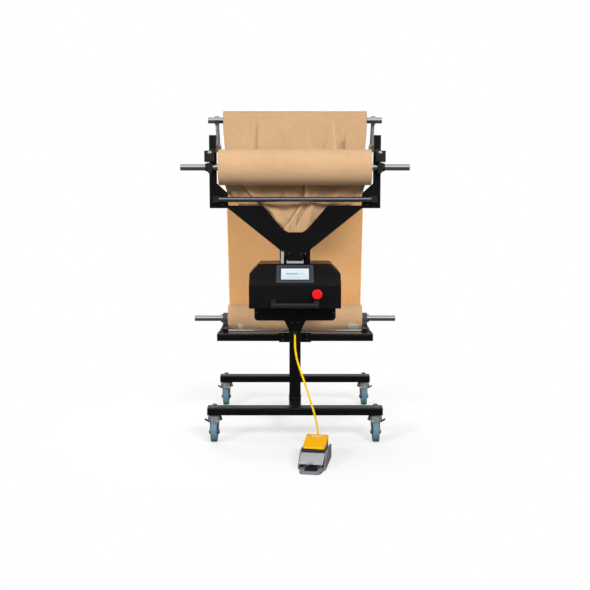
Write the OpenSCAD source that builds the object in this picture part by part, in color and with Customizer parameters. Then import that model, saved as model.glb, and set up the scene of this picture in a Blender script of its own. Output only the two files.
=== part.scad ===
// Paper void fill machine on a castor stand, with two paper rolls and a foot switch.
// Millimetres. The origin is on the floor at the centre of the base; -Y is the front.

/* [Base frame] */
// Length of the front and rear base beams
beam_len = 700; // [600:5:900]
// Depth of a base beam from front to back
beam_deep = 60; // [50:1:70]
// Height of a base beam
beam_high = 30; // [26:1:40]
// Outside depth of the base over both beams
base_deep = 690; // [640:5:800]
// Wall of the welded tubes
tube_wall = 2.5; // [2:0.5:4]
// Width of the spine tube between the beams
spine_wide = 50; // [50:1:70]

/* [Castors] */
// Height from the floor to the underside of the beams
castor_high = 105; // [102:1:120]
// Diameter of a castor wheel
wheel_d = 80; // [70:1:84]
// Width of a castor tread
wheel_wide = 26; // [20:1:32]
// Distance of the wheel axle in front of the swivel axis
castor_trail = 28; // [20:1:34]
// Distance of the swivel axis from the end of the beam
castor_inset = 28; // [26:1:60]
// Diameter of the wheel axle
axle_d = 8; // [6:1:12]

/* [Column] */
// Width of the square column
column_wide = 47; // [40:1:50]
// Front face of the column
column_front = -180; // [-190:1:-170]
// Top end of the column
column_top = 520; // [500:1:526]

/* [Mount plate] */
// Thickness of the mount plate
plate_thick = 8; // [6:1:10]
// Half width of the mount plate
plate_half = 167; // [160:1:172]
// Lower edge of the wide part of the mount plate
plate_low = 465; // [455:1:480]
// Lower end of the tapered neck
neck_low = 423; // [418:1:435]

/* [Lower roll] */
// Height of the lower roll axis
lower_z = 423; // [419:1:427]
// Distance of the lower roll axis behind the origin
lower_y = 184; // [150:1:200]
// Radius of the paper on the lower roll
lower_r = 62; // [48:1:66]
// Underside of the lower carrier beam
carrier_z = 369; // [350:1:369]

/* [Upper roll] */
// Height of the upper roll axis
upper_z = 1087; // [1080:1:1095]
// Position of the upper roll axis, front negative
upper_y = -263; // [-268:1:-263]
// Radius of the paper on the upper roll
upper_r = 70; // [50:1:72]
// Width of the paper
paper_wide = 600; // [560:1:600]
// Diameter of the roll spindles
spindle_d = 25; // [20:1:28]
// Length of the roll spindles
spindle_len = 905; // [800:5:1000]
// Inside radius of the cardboard cores
core_r = 38; // [30:1:40]

/* [Upper frame] */
// Inner face of the upright posts, from the middle
post_in = 312; // [310:1:320]
// Width of a post
post_wide = 29; // [26:1:35]
// Lower end of the posts
post_low = 926; // [920:1:932]
// Height of the top roller axis
roller_z = 1291; // [1270:1:1310]
// Position of the top roller axis
roller_y = 15; // [0:1:30]
// Radius of the top roller
roller_r = 38; // [30:1:42]

/* [Head] */
// Half width of the machine head
head_half = 181.5; // [175:0.5:190]
// Underside of the head
head_low = 534; // [530:1:540]
// Top of the head
head_top = 703; // [700:1:706]
// Front face of the head
head_front = -335; // [-345:1:-330]
// Rear face of the head
head_rear = -60; // [-70:1:-40]
// Thickness of the sheet metal of the head
skin = 2; // [1.5:0.5:3]
// Corner cut along the upper edges of the head
head_cut = 36; // [25:1:45]
// Height where the front panel turns into the sloped panel
slope_low = 626; // [615:1:632]

/* [Drive] */
// Pitch radius of the crimp wheels
crimp_r = 27; // [26:0.5:28]
// Number of teeth on a crimp wheel
crimp_teeth = 12; // [8:1:14]
// Height of the crimp shafts
crimp_z = 640; // [636:1:644]

/* [Foot switch] */
// Sideways position of the foot switch
foot_x = 69.5; // [60:0.5:80]
// Forward position of the foot switch, front negative
foot_y = -660.5; // [-664:0.5:-656]
// Turn of the foot switch on the floor
foot_turn = -9.3; // [-10:0.1:-8]
// Width of the foot switch base
foot_wide = 100; // [94:1:110]
// Height of the cover at the back
foot_high = 90; // [84:1:100]

/* [Cable] */
// Diameter of the foot switch cable
cable_d = 8.4; // [6:0.2:9]

/* [Fits] */
// Radial clearance of a turning fit
run = 0.05; // [0.02:0.01:0.1]
// Clearance beside a moving piece
side = 0.4; // [0.2:0.1:0.8]
// Gap between the paper and a turning roll
paper_gap = 0.4; // [0.3:0.1:1]
// Thickness of the paper web as modelled
paper_thick = 1; // [0.6:0.1:1.5]

/* [Hidden] */
$fn = 48;

black = [0.09, 0.09, 0.1];
zinc = [0.78, 0.79, 0.8];
kraft = [0.76, 0.58, 0.38];
dark = [0.16, 0.16, 0.17];

// Base
beam_top = castor_high + beam_high;
beam_mid = castor_high + beam_high / 2;
beam_y = base_deep / 2 - beam_deep / 2;
cap_thick = 3;
cap_plug = 12;
stem_x = beam_len / 2 - castor_inset;
stem_r = 6;
race_thick = 4;
crown_thick = 7;
crown_r = 31;
crown_edge = crown_r - 6;
crown_deep = 18;
crown_top = castor_high - race_thick - side;
crown_low = crown_top - crown_thick;
axle_z = wheel_d / 2;
axle_r = axle_d / 2;
leg_in = wheel_wide / 2 + 1.5;
leg_thick = 3;
leg_out = leg_in + leg_thick;
brake_x = leg_out + 5;
brake_z = 80;
brake_pin_r = 2;

// Column, plate and lower carrier
column_back = column_front + column_wide;
column_mid = column_front + column_wide / 2;
column_wall = 3;
flange_thick = 6;
clamp_thick = 6;
clamp_half = 67;
plate_front = column_front - plate_thick;
tongue_half = 62;
tongue_top = 790;
carrier_high = 30;
carrier_front = column_back + clamp_thick;
carrier_back = carrier_front + beam_deep;
carrier_top = carrier_z + carrier_high;
arm_in = paper_wide / 2 + 3;
arm_wide = 21;
arm_out = arm_in + arm_wide;
arm_top = carrier_top + 1;
arm_end = lower_y + 38;
lug_in = arm_in - 18;
lug_len = 42;
tie_r = 6;
tie_y = carrier_back + 24;
tie_z = arm_top + 1;
lug_top = tie_z + 11;
spindle_r = spindle_d / 2;
core_wall = 4;
chuck_len = 15;
half_paper = paper_wide / 2;
bearing_r = 25;
bearing_foot = 10;

// Upper frame
post_out = post_in + post_wide;
post_front = -245;
post_deep = 30;
post_back = post_front + post_deep;
rail_wide = 22;
rail_mid = post_out - rail_wide / 2;
rail_top = roller_z - 108;
rail_end = 100;
y_thick = 8;
y_back = post_front + y_thick;
y_low = 756;
y_foot_half = 56;
notch_z = 830;
y_top = 936.6;
ear_in = 266;
ear_top = 1013;
bar_r = 10.5;
bar_y = -262;
bar_z = 961;
journal_r = 17.5;
journal_in = post_in + 14;
journal_len = 20;
cradle_front = upper_y - journal_r - 4;
cradle_low = upper_z - journal_r - 7;
cradle_top = upper_z + journal_r - side;
pivot_y = post_front - 10;
pivot_z = upper_z + 62;
pivot_r = 2.5;
latch_low = upper_z + journal_r + side;
latch_front = upper_y - 18;
grip_in = post_in + 6;
grip_out = post_out + 15;
grip_low = upper_z + spindle_r + 8;
grip_front = upper_y - journal_r - 4;
grip_back = pivot_y - 9;
knob_r = 8;
lug_plate = 3.6;
latch_in = post_in + 2 + lug_plate + side;
latch_out = post_out - 2 - lug_plate - side;
foot_start = post_in + 1;
post_top = max(rail_top + 28, pivot_z + 40);
rod_half = 367;
arm_rod_r = 8;
ring_r = 18;
foot_pad = 8;
arm_foot_y = 86;

// Paper path, as points of Y and Z
wrap_r = roller_r + paper_gap;
roll_gap_r = lower_r + paper_gap;
web_run = [roller_y - lower_y, roller_z - lower_z];
web_angle = atan2(web_run[1], web_run[0]) - acos((roll_gap_r - wrap_r) / norm(web_run));
rear_low = [lower_y + roll_gap_r * cos(web_angle), lower_z + roll_gap_r * sin(web_angle)];
rear_high = [roller_y + wrap_r * cos(web_angle), roller_z + wrap_r * sin(web_angle)];
throat_z = 800;
spread_z = 985;
crease_z = spread_z + 65;
rear_throat = [-200, throat_z];
front_throat = [-224, throat_z];
paper_end = 736;
sheet_run = [rear_throat[0] - roller_y, rear_throat[1] - roller_z];
sheet_angle = atan2(sheet_run[1], sheet_run[0]) + 360 - acos(wrap_r / norm(sheet_run));
front_high = [roller_y + wrap_r * cos(sheet_angle), roller_z + wrap_r * sin(sheet_angle)];
gather_share = 0.2;
gather_high = front_high + gather_share * (rear_throat - front_high);
roll_run = [front_throat[0] - upper_y, front_throat[1] - upper_z];
leave_r = upper_r + paper_gap;
leave_angle = atan2(roll_run[1], roll_run[0]) + acos(leave_r / norm(roll_run));
funnel_high = [upper_y + leave_r * cos(leave_angle), upper_z + leave_r * sin(leave_angle)];

// Head
split_y = -246;
split_gap = 2;
slope_run = split_y + split_gap - head_front;
slope_rise = head_top - slope_low;
slope_len = norm([slope_run, slope_rise]);
slope_angle = atan(slope_rise / slope_run);
slope_mid = [0, head_front + slope_run / 2, slope_low + slope_rise / 2];
cover_back_z = slope_low + slope_rise * (split_y - head_front) / slope_run;
hinge_y = split_y + split_gap / 2;
hinge_z = head_top - 0.8;
knuckle_r = 2.2;
hinge_pin_r = 1.1;
hinge_in = 60;
hinge_mid = 96;
hinge_half = 130;
fold = 12;
socket_x = 120;
socket_z = head_low + 37;
socket_w = 50;
socket_h = 30;
vent_low = head_low + 86;
control_left = -160;
control_wide = 70;
control_deep = 70;
control_high = 80;
control_back = head_rear - 20;
inlet_half = tongue_half + 0.5;
inlet_front = post_front + 6;
window_low = crimp_z - 42;
window_high = crimp_z + 42;
drive_y = plate_front + plate_thick / 2 + 2;
idler_y = drive_y - 2 * crimp_r;
shaft_r = 6;
ball_r = 14;
cheek_x = 72;
cheek_thick = 6;
cheek_out = cheek_x + cheek_thick;
gearbox_wide = 38;
window_left = -cheek_out - 12;
window_right = cheek_out + gearbox_wide + 10;
crimp_in = 18;
crimp_out = 54;
tooth_high = 3;
bezel_w = 148;
bezel_h = 98;
bezel_t = 4;
glass_w = 122;
glass_h = 74;
glass_t = 1.5;
body_deep = 13;
estop_x = 87;
estop_z = 592;
estop_r = 20;
estop_hole = 11;
collar_r = 16;
collar_len = 12;
press = 4;
handle_half = 94.5;
handle_z = 549;
handle_high = 20;
handle_tall = 30;
handle_out = 40;
handle_bar = 18;
handle_foot = 20;

// Foot switch, in its own frame: +Y is its cable end
foot_len = 228;
foot_back = foot_len / 2;
foot_plate = 8;
wing_thick = 6;
pedal_pin_y = 6;
pedal_pin_z = 50;
pedal_pin_r = 4;
cover_half = 39;
cover_front = -12;
cover_back = 102;
cover_front_z = 70;
cover_thick = 6;
gland_r = 8;
gland_z = 50;
gland_len = 12;
clip_y = plate_front - 10;
clip_low = neck_low - 13;

// Small shapes

module box(x0, x1, y0, y1, z0, z1) {
    translate([x0, y0, z0])
        cube([x1 - x0, y1 - y0, z1 - z0]);
}

module bar_x(x0, x1, y, z, r) {
    translate([x0, y, z])
        rotate([0, 90, 0])
            cylinder(r = r, h = x1 - x0);
}

module bar_y(y0, y1, x, z, r) {
    translate([x, y0, z])
        rotate([-90, 0, 0])
            cylinder(r = r, h = y1 - y0);
}

module bar_z(z0, z1, x, y, r) {
    translate([x, y, z0])
        cylinder(r = r, h = z1 - z0);
}

// Extrudes a shape drawn in Y and Z along X
module along_x(x0, x1) {
    translate([x0, 0, 0])
        rotate([90, 0, 90])
            linear_extrude(x1 - x0)
                children();
}

// Extrudes a shape drawn in X and Z along Y
module along_y(y0, y1) {
    translate([0, y1, 0])
        rotate([90, 0, 0])
            linear_extrude(y1 - y0)
                children();
}

module both_sides() {
    children();
    mirror([1, 0, 0])
        children();
}

module round_rect(w, h, r) {
    square([w - 2 * r, h], center = true);
    square([w, h - 2 * r], center = true);
    for (sx = [-1, 1], sy = [-1, 1])
        translate([sx * (w / 2 - r), sy * (h / 2 - r)])
            circle(r);
}

module tube_section(w, h, wall) {
    difference() {
        round_rect(w, h, 2 * wall);
        round_rect(w - 2 * wall, h - 2 * wall, wall);
    }
}

// Points of one rounded corner b between its neighbours a and c
function corner(a, b, c, r, n = 6) =
    let (u = (a - b) / norm(a - b), v = (c - b) / norm(c - b))
    let (half = acos(u * v) / 2, reach = r / tan(half))
    let (mid = (u + v) / norm(u + v), centre = b + mid * r / sin(half))
    let (p = b + u * reach - centre, q = b + v * reach - centre)
    let (start = atan2(p[1], p[0]), turn = atan2(q[1], q[0]) - start)
    let (sweep = turn > 180 ? turn - 360 : turn < -180 ? turn + 360 : turn)
    [for (i = [0:n]) centre + r * [cos(start + sweep * i / n), sin(start + sweep * i / n)]];

// Outline with a radius at each point; a radius of 0 keeps the corner sharp
function rounded(points, radii) =
    let (n = len(points))
    [for (i = [0:n - 1])
        each radii[i] > 0
            ? corner(points[(i + n - 1) % n], points[i], points[(i + 1) % n], radii[i])
            : [points[i]]];

function mirrored(points) =
    concat(points, [for (i = [len(points) - 1:-1:0]) [-points[i][0], points[i][1]]]);

// A dome head bolt standing on z = 0
module dome_bolt(r, h) {
    flat = h * 0.45;
    rise = h - flat;
    ball = (r * r + rise * rise) / (2 * rise);
    cylinder(r = r, h = flat);
    intersection() {
        translate([0, 0, h - ball])
            sphere(r = ball);
        translate([0, 0, flat])
            cylinder(r = r * 0.96, h = h);
    }
}

// Base frame

module beam(y) {
    difference() {
        along_x(-beam_len / 2 + cap_thick, beam_len / 2 - cap_thick)
            translate([y, beam_mid])
                tube_section(beam_deep, beam_high, tube_wall);
        both_sides()
            bar_z(castor_high - 1, beam_top + 1, stem_x, y, stem_r + 0.2);
    }
}

module base_front_beam() {
    color(black)
        beam(-beam_y);
}

module base_rear_beam() {
    color(black)
        beam(beam_y);
}

module base_spine() {
    color(black)
        along_y(-beam_y + beam_deep / 2, beam_y - beam_deep / 2)
            translate([0, beam_mid])
                tube_section(spine_wide, beam_high, tube_wall);
}

module plug_x(x, y, z, w, h, wall) {
    along_x(x, x + cap_thick)
        translate([y, z])
            round_rect(w, h, 2 * wall);
    along_x(x - cap_plug, x)
        translate([y, z])
            round_rect(w - 2 * wall - 0.2, h - 2 * wall - 0.2, wall);
}

module end_caps() {
    color(dark) {
        both_sides()
            for (y = [-beam_y, beam_y])
                plug_x(beam_len / 2 - cap_thick, y, beam_mid, beam_deep, beam_high, tube_wall);
        both_sides()
            plug_x(arm_out, (carrier_front + carrier_back) / 2, carrier_z + carrier_high / 2,
                beam_deep, carrier_high, tube_wall);
        both_sides()
            translate([post_in + post_wide / 2, (post_front + post_back) / 2, post_top]) {
                linear_extrude(cap_thick)
                    round_rect(post_wide, post_deep, 2 * tube_wall);
                translate([0, 0, -cap_plug])
                    linear_extrude(cap_plug)
                        round_rect(post_wide - 2 * tube_wall - 0.2,
                            post_deep - 2 * tube_wall - 0.2, tube_wall);
            }
    }
}

// Castors

module castor_bolts() {
    color(zinc)
        both_sides()
            for (y = [-beam_y, beam_y]) {
                bar_z(castor_high - race_thick, castor_high, stem_x, y, crown_edge);
                bar_z(crown_low - 8, beam_top, stem_x, y, stem_r);
                bar_z(crown_low - 8, crown_low - side, stem_x, y, stem_r + 4);
                bar_z(beam_top, beam_top + 2, stem_x, y, 14);
                translate([stem_x, y, beam_top + 1])
                    linear_extrude(9)
                        polygon([for (i = [0:5]) 10.5 * [cos(60 * i), sin(60 * i)]]);
                bar_z(beam_top + 9, beam_top + 12, stem_x, y, stem_r - 1);
            }
}

// Places a castor piece drawn with its swivel axis at X = 0 and its outer side at +X
module castor_at(hand, y) {
    translate([hand * stem_x, y, 0])
        if (hand > 0)
            children();
        else
            mirror([1, 0, 0])
                children();
}

module fork() {
    color(zinc) {
        difference() {
            union() {
                difference() {
                    translate([0, 0, crown_top - crown_deep])
                        cylinder(r1 = crown_r, r2 = crown_edge, h = crown_deep);
                    bar_z(crown_top - crown_deep - 1, crown_low, 0, 0, crown_edge);
                    box(leg_out, crown_r + 9, -21, 10, brake_z - 20, brake_z + 12);
                }
                for (x = [-leg_out, leg_in])
                    along_x(x, x + leg_thick) {
                        polygon([
                            [-castor_trail - 11, axle_z],
                            [-castor_trail + 4, crown_top - 3],
                            [17, crown_top - 3],
                            [17, crown_low - 6],
                            [-castor_trail + 11, axle_z]
                        ]);
                        translate([-castor_trail, axle_z])
                            circle(11);
                    }
                for (y = [-20, 4])
                    box(leg_out - 1, brake_x + 4, y, y + 5, brake_z - 4, brake_z + 4);
                bar_y(-20, 9, brake_x, brake_z, brake_pin_r);
                bar_x(-leg_out - 4, leg_out + 4, -castor_trail, axle_z, axle_r);
                for (x = [-leg_out - 4, leg_out])
                    bar_x(x, x + 4, -castor_trail, axle_z, axle_r + 3);
            }
            bar_z(crown_low - 1, crown_top + 1, 0, 0, stem_r + run);
        }
    }
}

module wheel() {
    color([0.5, 0.54, 0.58])
        translate([0, -castor_trail, axle_z])
            rotate([0, 90, 0])
                rotate_extrude() {
                    difference() {
                        union() {
                            translate([axle_z - 6, 0])
                                round_rect(12, wheel_wide, 4);
                            translate([axle_z - 17, -wheel_wide / 2 + 4])
                                square([14, wheel_wide - 8]);
                            translate([axle_r + run, -wheel_wide / 2 - 1])
                                square([8, wheel_wide + 2]);
                            translate([axle_r + run, -5])
                                square([axle_z - 14, 10]);
                        }
                        translate([-1, -wheel_wide])
                            square([axle_r + run + 1, 2 * wheel_wide]);
                    }
                }
}

module brake() {
    color(dark)
        difference() {
            union() {
                bar_y(-15 + side, 4 - side, brake_x, brake_z, 4.2);
                along_y(-15 + side, 4 - side)
                    polygon([
                        [brake_x, brake_z + 1],
                        [brake_x + 9, brake_z + 2],
                        [brake_x + 16, brake_z + 7],
                        [brake_x + 18, brake_z + 5],
                        [brake_x + 10, brake_z - 1],
                        [brake_x, brake_z - 3]
                    ]);
            }
            bar_y(-16, 5, brake_x, brake_z, brake_pin_r + run);
        }
}

module fork_front_left() { castor_at(-1, -beam_y) fork(); }
module fork_front_right() { castor_at(1, -beam_y) fork(); }
module fork_rear_left() { castor_at(-1, beam_y) fork(); }
module fork_rear_right() { castor_at(1, beam_y) fork(); }
module wheel_front_left() { castor_at(-1, -beam_y) wheel(); }
module wheel_front_right() { castor_at(1, -beam_y) wheel(); }
module wheel_rear_left() { castor_at(-1, beam_y) wheel(); }
module wheel_rear_right() { castor_at(1, beam_y) wheel(); }
module brake_front_left() { castor_at(-1, -beam_y) brake(); }
module brake_front_right() { castor_at(1, -beam_y) brake(); }
module brake_rear_left() { castor_at(-1, beam_y) brake(); }
module brake_rear_right() { castor_at(1, beam_y) brake(); }

// Column, mount plate and lower carrier

module column() {
    color(black) {
        translate([0, column_mid, beam_top])
            linear_extrude(column_top - beam_top)
                tube_section(column_wide, column_wide, column_wall);
        translate([0, column_mid, beam_top])
            linear_extrude(flange_thick)
                difference() {
                    round_rect(spine_wide, column_wide + 44, 4);
                    square(column_wide - 4 * column_wall, center = true);
                }
        box(-clamp_half, clamp_half, column_back, carrier_front, carrier_z - 3, carrier_top + 7);
        translate([0, column_mid, column_top])
            linear_extrude(cap_thick)
                round_rect(column_wide, column_wide, 2 * column_wall);
    }
}

module mount_plate() {
    right = [
        [column_wide / 2, neck_low],
        [44, plate_low],
        [plate_half, plate_low],
        [plate_half, head_top - head_cut - 12],
        [head_half - head_cut - 8, head_top - 5],
        [tongue_half, head_top - 5],
        [tongue_half, tongue_top]
    ];
    radii = [3, 8, 16, 6, 6, 4, 8];
    color(black)
        along_y(plate_front, column_front)
            difference() {
                polygon(rounded(mirrored(right), concat(radii, [for (i = [6:-1:0]) radii[i]])));
                translate([window_left, window_low])
                    square([window_right - window_left, window_high - window_low]);
            }
}

module lower_carrier() {
    color(black) {
        along_x(-arm_out, arm_out)
            translate([(carrier_front + carrier_back) / 2, carrier_z + carrier_high / 2])
                tube_section(beam_deep, carrier_high, tube_wall);
        both_sides() {
            along_y(carrier_back, arm_end)
                translate([(arm_in + arm_out) / 2, (carrier_z + arm_top) / 2])
                    round_rect(arm_wide, arm_top - carrier_z, 3);
            box(lug_in, arm_in + 4, carrier_back, carrier_back + lug_len, carrier_z + 4, lug_top);
        }
    }
}

module lower_tie_rod() {
    color(zinc)
        bar_x(-lug_in, lug_in, tie_y, tie_z, tie_r);
}

module lower_bearings() {
    color(dark)
        both_sides()
            difference() {
                union() {
                    bar_x(arm_in, arm_out, lower_y, lower_z, bearing_r);
                    box(arm_in, arm_out, lower_y - 34, lower_y + 34, arm_top, arm_top + bearing_foot);
                }
                box(arm_in - 1, arm_out + 1, lower_y - 40, lower_y + 40, arm_top - 40, arm_top);
                bar_x(arm_in - 1, arm_out + 1, lower_y, lower_z, spindle_r + run);
            }
}

// One roll spindle with its two chucks and its stop collars
module spindle(y, z, stop_x, stop_len, stop_r) {
    bar_x(-spindle_len / 2, spindle_len / 2, y, z, spindle_r);
    both_sides() {
        bar_x(half_paper - chuck_len, half_paper, y, z, core_r);
        bar_x(half_paper, half_paper + 2, y, z, core_r + 3);
        bar_x(stop_x, stop_x + stop_len, y, z, stop_r);
    }
}

module paper_roll(y, z, r) {
    difference() {
        bar_x(-half_paper, half_paper, y, z, core_r + core_wall);
        bar_x(-half_paper - 1, half_paper + 1, y, z, core_r);
    }
    difference() {
        bar_x(-half_paper, half_paper, y, z, r);
        bar_x(-half_paper - 1, half_paper + 1, y, z, core_r + core_wall);
    }
}

module lower_spindle() {
    color(zinc)
        spindle(lower_y, lower_z, arm_out + 1, 9, spindle_r + 6);
}

module lower_roll() {
    color(kraft)
        paper_roll(lower_y, lower_z, lower_r);
}

// Upper frame

module side_frames() {
    color(black)
        both_sides() {
            translate([post_in + post_wide / 2, (post_front + post_back) / 2, post_low])
                linear_extrude(post_top - post_low)
                    tube_section(post_wide, post_deep, tube_wall);
            along_y(post_back, rail_end)
                translate([rail_mid, rail_top - rail_wide / 2])
                    round_rect(rail_wide, rail_wide, 3);
        }
}

module upper_bearings() {
    color(dark)
        both_sides() {
            difference() {
                along_y(cradle_front, post_front)
                    polygon([
                        [journal_in, cradle_low],
                        [journal_in + journal_len - 7, cradle_low],
                        [journal_in + journal_len, cradle_low + 13],
                        [journal_in + journal_len, cradle_top],
                        [journal_in, cradle_top]
                    ]);
                bar_x(journal_in - 1, journal_in + journal_len + 1, upper_y, upper_z, journal_r + run);
                box(journal_in - 1, journal_in + journal_len + 1, upper_y - journal_r - run,
                    post_front + 1, upper_z, cradle_top + 1);
            }
            box(foot_start, post_out - 1, post_front - 4, post_front, pivot_z - 11, pivot_z + 11);
            for (x = [post_in + 2, post_out - 2 - lug_plate])
                box(x, x + lug_plate, pivot_y - 5, post_front - 3, pivot_z - 7, pivot_z + 6);
            bar_x(post_in + 2, post_out - 2, pivot_y, pivot_z, pivot_r);
        }
}

module latch() {
    color(dark) {
        difference() {
            along_x(latch_in, latch_out)
                polygon(rounded([
                    [pivot_y + 4, pivot_z + 4],
                    [pivot_y + 4, latch_low],
                    [latch_front, latch_low],
                    [latch_front, pivot_z + 4]
                ], [2, 2, 3, 6]));
            bar_x(latch_in - 1, latch_out + 1, pivot_y, pivot_z, pivot_r + run);
        }
        along_x(grip_in, grip_out)
            polygon(rounded([
                [grip_back, pivot_z + 3],
                [grip_back, grip_low],
                [grip_front, grip_low],
                [grip_front, pivot_z + 3]
            ], [2, 2, 4, 5]));
        translate([(grip_in + grip_out) / 2 - 3, grip_front + 0.3, pivot_z - 6.5])
            rotate([90, 0, 0])
                dome_bolt(knob_r, 8);
    }
}

module latch_right() { latch(); }
module latch_left() { mirror([1, 0, 0]) latch(); }

module upper_spindle() {
    color(zinc) {
        spindle(upper_y, upper_z, journal_in + journal_len + 2, 6, spindle_r + 3);
        both_sides()
            bar_x(journal_in - 2, journal_in + journal_len + 2, upper_y, upper_z, journal_r);
    }
}

module upper_roll() {
    color(kraft)
        paper_roll(upper_y, upper_z, upper_r);
}

module y_plate() {
    right = [
        [28, notch_z],
        [50, notch_z + 13],
        [130, y_top],
        [ear_in, y_top],
        [ear_in + 2, ear_top - 27],
        [post_in, ear_top + 13],
        [post_in, post_low],
        [268, post_low],
        [y_foot_half, y_low]
    ];
    radii = [14, 14, 16, 4, 8, 0, 0, 6, 4];
    outline = concat(right, [for (i = [8:-1:0]) [-right[i][0], right[i][1]]]);
    color(black)
        along_y(post_front, y_back)
            polygon(rounded(outline, concat(radii, [for (i = [8:-1:0]) radii[i]])));
}

module front_guide_bar() {
    color(zinc) {
        bar_x(-post_in - 4, post_in + 4, bar_y, bar_z, bar_r);
        both_sides()
            difference() {
                box(post_in - 10, post_in + 14, bar_y - bar_r - 3, post_front, bar_z - 13, bar_z + 13);
                bar_x(post_in - 11, post_in + 5, bar_y, bar_z, bar_r + run);
            }
    }
}

module top_arms() {
    lean = [arm_foot_y - roller_y, rail_top + 4 - roller_z];
    color(zinc) {
        bar_x(-rod_half, rod_half, roller_y, roller_z, spindle_r);
        both_sides() {
            difference() {
                union() {
                    bar_x(rail_mid - 9, rail_mid + 9, roller_y, roller_z, ring_r);
                    translate([rail_mid, roller_y, roller_z])
                        rotate([atan2(lean[1], lean[0]) - 90, 0, 0])
                            cylinder(r = arm_rod_r, h = norm(lean));
                    box(rail_mid - 11, rail_mid + 11, arm_foot_y - 13, arm_foot_y + 13,
                        rail_top, rail_top + foot_pad);
                }
                bar_x(rail_mid - 12, rail_mid + 12, roller_y, roller_z, spindle_r + run);
                box(rail_mid - 20, rail_mid + 20, arm_foot_y - 40, arm_foot_y + 40,
                    rail_top - 20, rail_top);
            }
        }
    }
}

module top_roller() {
    hub = 16;
    color([0.55, 0.56, 0.58])
        difference() {
            union() {
                difference() {
                    bar_x(-half_paper - 2, half_paper + 2, roller_y, roller_z, roller_r);
                    bar_x(-half_paper - 3, half_paper + 3, roller_y, roller_z, roller_r - 3);
                }
                both_sides()
                    bar_x(half_paper - hub, half_paper - 2, roller_y, roller_z, roller_r - 2);
            }
            bar_x(-half_paper - 3, half_paper + 3, roller_y, roller_z, spindle_r + run);
            for (a = [0:60:300])
                bar_x(-half_paper - 3, half_paper + 3, roller_y + 24 * cos(a),
                    roller_z + 24 * sin(a), 5);
        }
}

// Paper

// Path of the web in Y and Z from the lower roll over the top roller, moved out by a distance
function web_line(out) =
    let (bends = 24, turn = (sheet_angle - web_angle) / bends)
    concat(
        [rear_low + out * [cos(web_angle), sin(web_angle)]],
        [for (i = [0:bends])
            let (a = web_angle + i * turn)
            [roller_y, roller_z] + (wrap_r + out) * [cos(a), sin(a)]],
        [gather_high + out * [cos(sheet_angle), sin(sheet_angle)]]
    );

module paper_web() {
    inner = web_line(0);
    outer = web_line(paper_thick);
    color(kraft)
        along_x(-half_paper, half_paper)
            polygon(concat(inner, [for (i = [len(outer) - 1:-1:0]) outer[i]]));
}

// Height of the folds at each crease line across a gathered sheet
fold_front = [0, 0.5, -0.5, 0.9, -0.7, 1, -0.4, 0.6, -1, 0.8, -0.6, 1, -0.8, 0.4, 0];
fold_rear = [0, -0.6, 0.7, -0.8, 0.5, -1, 0.8, -0.5, 0.9, -0.7, 1, -0.6, 0.8, -0.5, 0];
legs = 14;
part_of_leg = 2;
rows = 16;

function mix(a, b, t) = a + (b - a) * t;
function smooth(t) = t * t * (3 - 2 * t);
function clip(t) = min(1, max(0, t));

// Half width of a gathered sheet at a height
function gather_half(z) =
    z > spread_z ? mix(half_paper - 28, half_paper, clip((z - spread_z) / 90))
    : z > throat_z ? mix(52, half_paper - 28, pow(clip((z - throat_z) / (spread_z - throat_z)), 0.8))
    : 50;

// Size of the folds at a height
function fold_size(z, most) =
    z > throat_z ? most * smooth(clip((crease_z - z) / 90)) * mix(0.55, 1, clip((z - throat_z) / 60))
    : most * 0.5;

function fold_at(folds, u) =
    let (s = u * legs, i = min(legs - 1, floor(s)))
    mix(folds[i], folds[i + 1], s - i);

// A folded sheet from its top point through its throat point down to the paper end
module gathered(top, throat, folds, most) {
    across = legs * part_of_leg;
    drop = top[1] - paper_end;
    heights = [for (j = [0:rows]) top[1] - drop * j / rows];
    function centre_y(z) =
        z > throat[1] ? mix(throat[0], top[0], (z - throat[1]) / (top[1] - throat[1])) : throat[0];
    function place(i, j, back) =
        let (z = heights[j], u = i / across)
        [
            (2 * u - 1) * gather_half(z),
            centre_y(z) + fold_size(z, most) * fold_at(folds, u) + back * paper_thick,
            z
        ];
    wide = across + 1;
    count = wide * (rows + 1);
    points = [for (back = [0, 1], j = [0:rows], i = [0:across]) place(i, j, back)];
    front = [for (j = [0:rows - 1], i = [0:across - 1])
        let (a = j * wide + i)
        each [[a, a + 1, a + wide + 1], [a, a + wide + 1, a + wide]]];
    rear = [for (t = front) [t[2] + count, t[1] + count, t[0] + count]];
    left = [for (j = [0:rows - 1])
        let (a = j * wide)
        each [[a, a + wide, a + wide + count], [a, a + wide + count, a + count]]];
    right = [for (j = [0:rows - 1])
        let (a = j * wide + across)
        each [[a, a + wide + count, a + wide], [a, a + count, a + wide + count]]];
    upper = [for (i = [0:across - 1])
        each [[i, i + 1 + count, i + 1], [i, i + count, i + 1 + count]]];
    lower = [for (i = [0:across - 1])
        let (a = rows * wide + i)
        each [[a, a + 1, a + 1 + count], [a, a + 1 + count, a + count]]];
    polyhedron(points, concat(front, rear, left, right, upper, lower));
}

module paper_gather() {
    color(kraft)
        gathered(gather_high, rear_throat, fold_rear, 13);
}

module paper_funnel() {
    color(kraft)
        gathered(funnel_high, front_throat, fold_front, 13);
}

// Throat between the Y plate and the head

module throat_chute() {
    out = 57;
    wall = 3;
    flange = 12;
    low = head_top + 1;
    color(zinc) {
        both_sides() {
            box(out - wall, out, y_back, plate_front, low, tongue_top);
            box(out - flange, out, y_back, y_back + wall, low, tongue_top);
            box(out - flange, out, plate_front - wall, plate_front, low + 40, tongue_top);
        }
        box(-34, 34, post_front + 4, post_front + 7, head_top + 2, y_low - 12);
    }
}

module throat_bracket() {
    color(black)
        along_y(post_front, post_front + 4)
            polygon(rounded([[-32, head_top + 13], [32, head_top + 13], [42, y_low], [-42, y_low]],
                [4, 4, 0, 0]));
}

// Head

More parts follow.
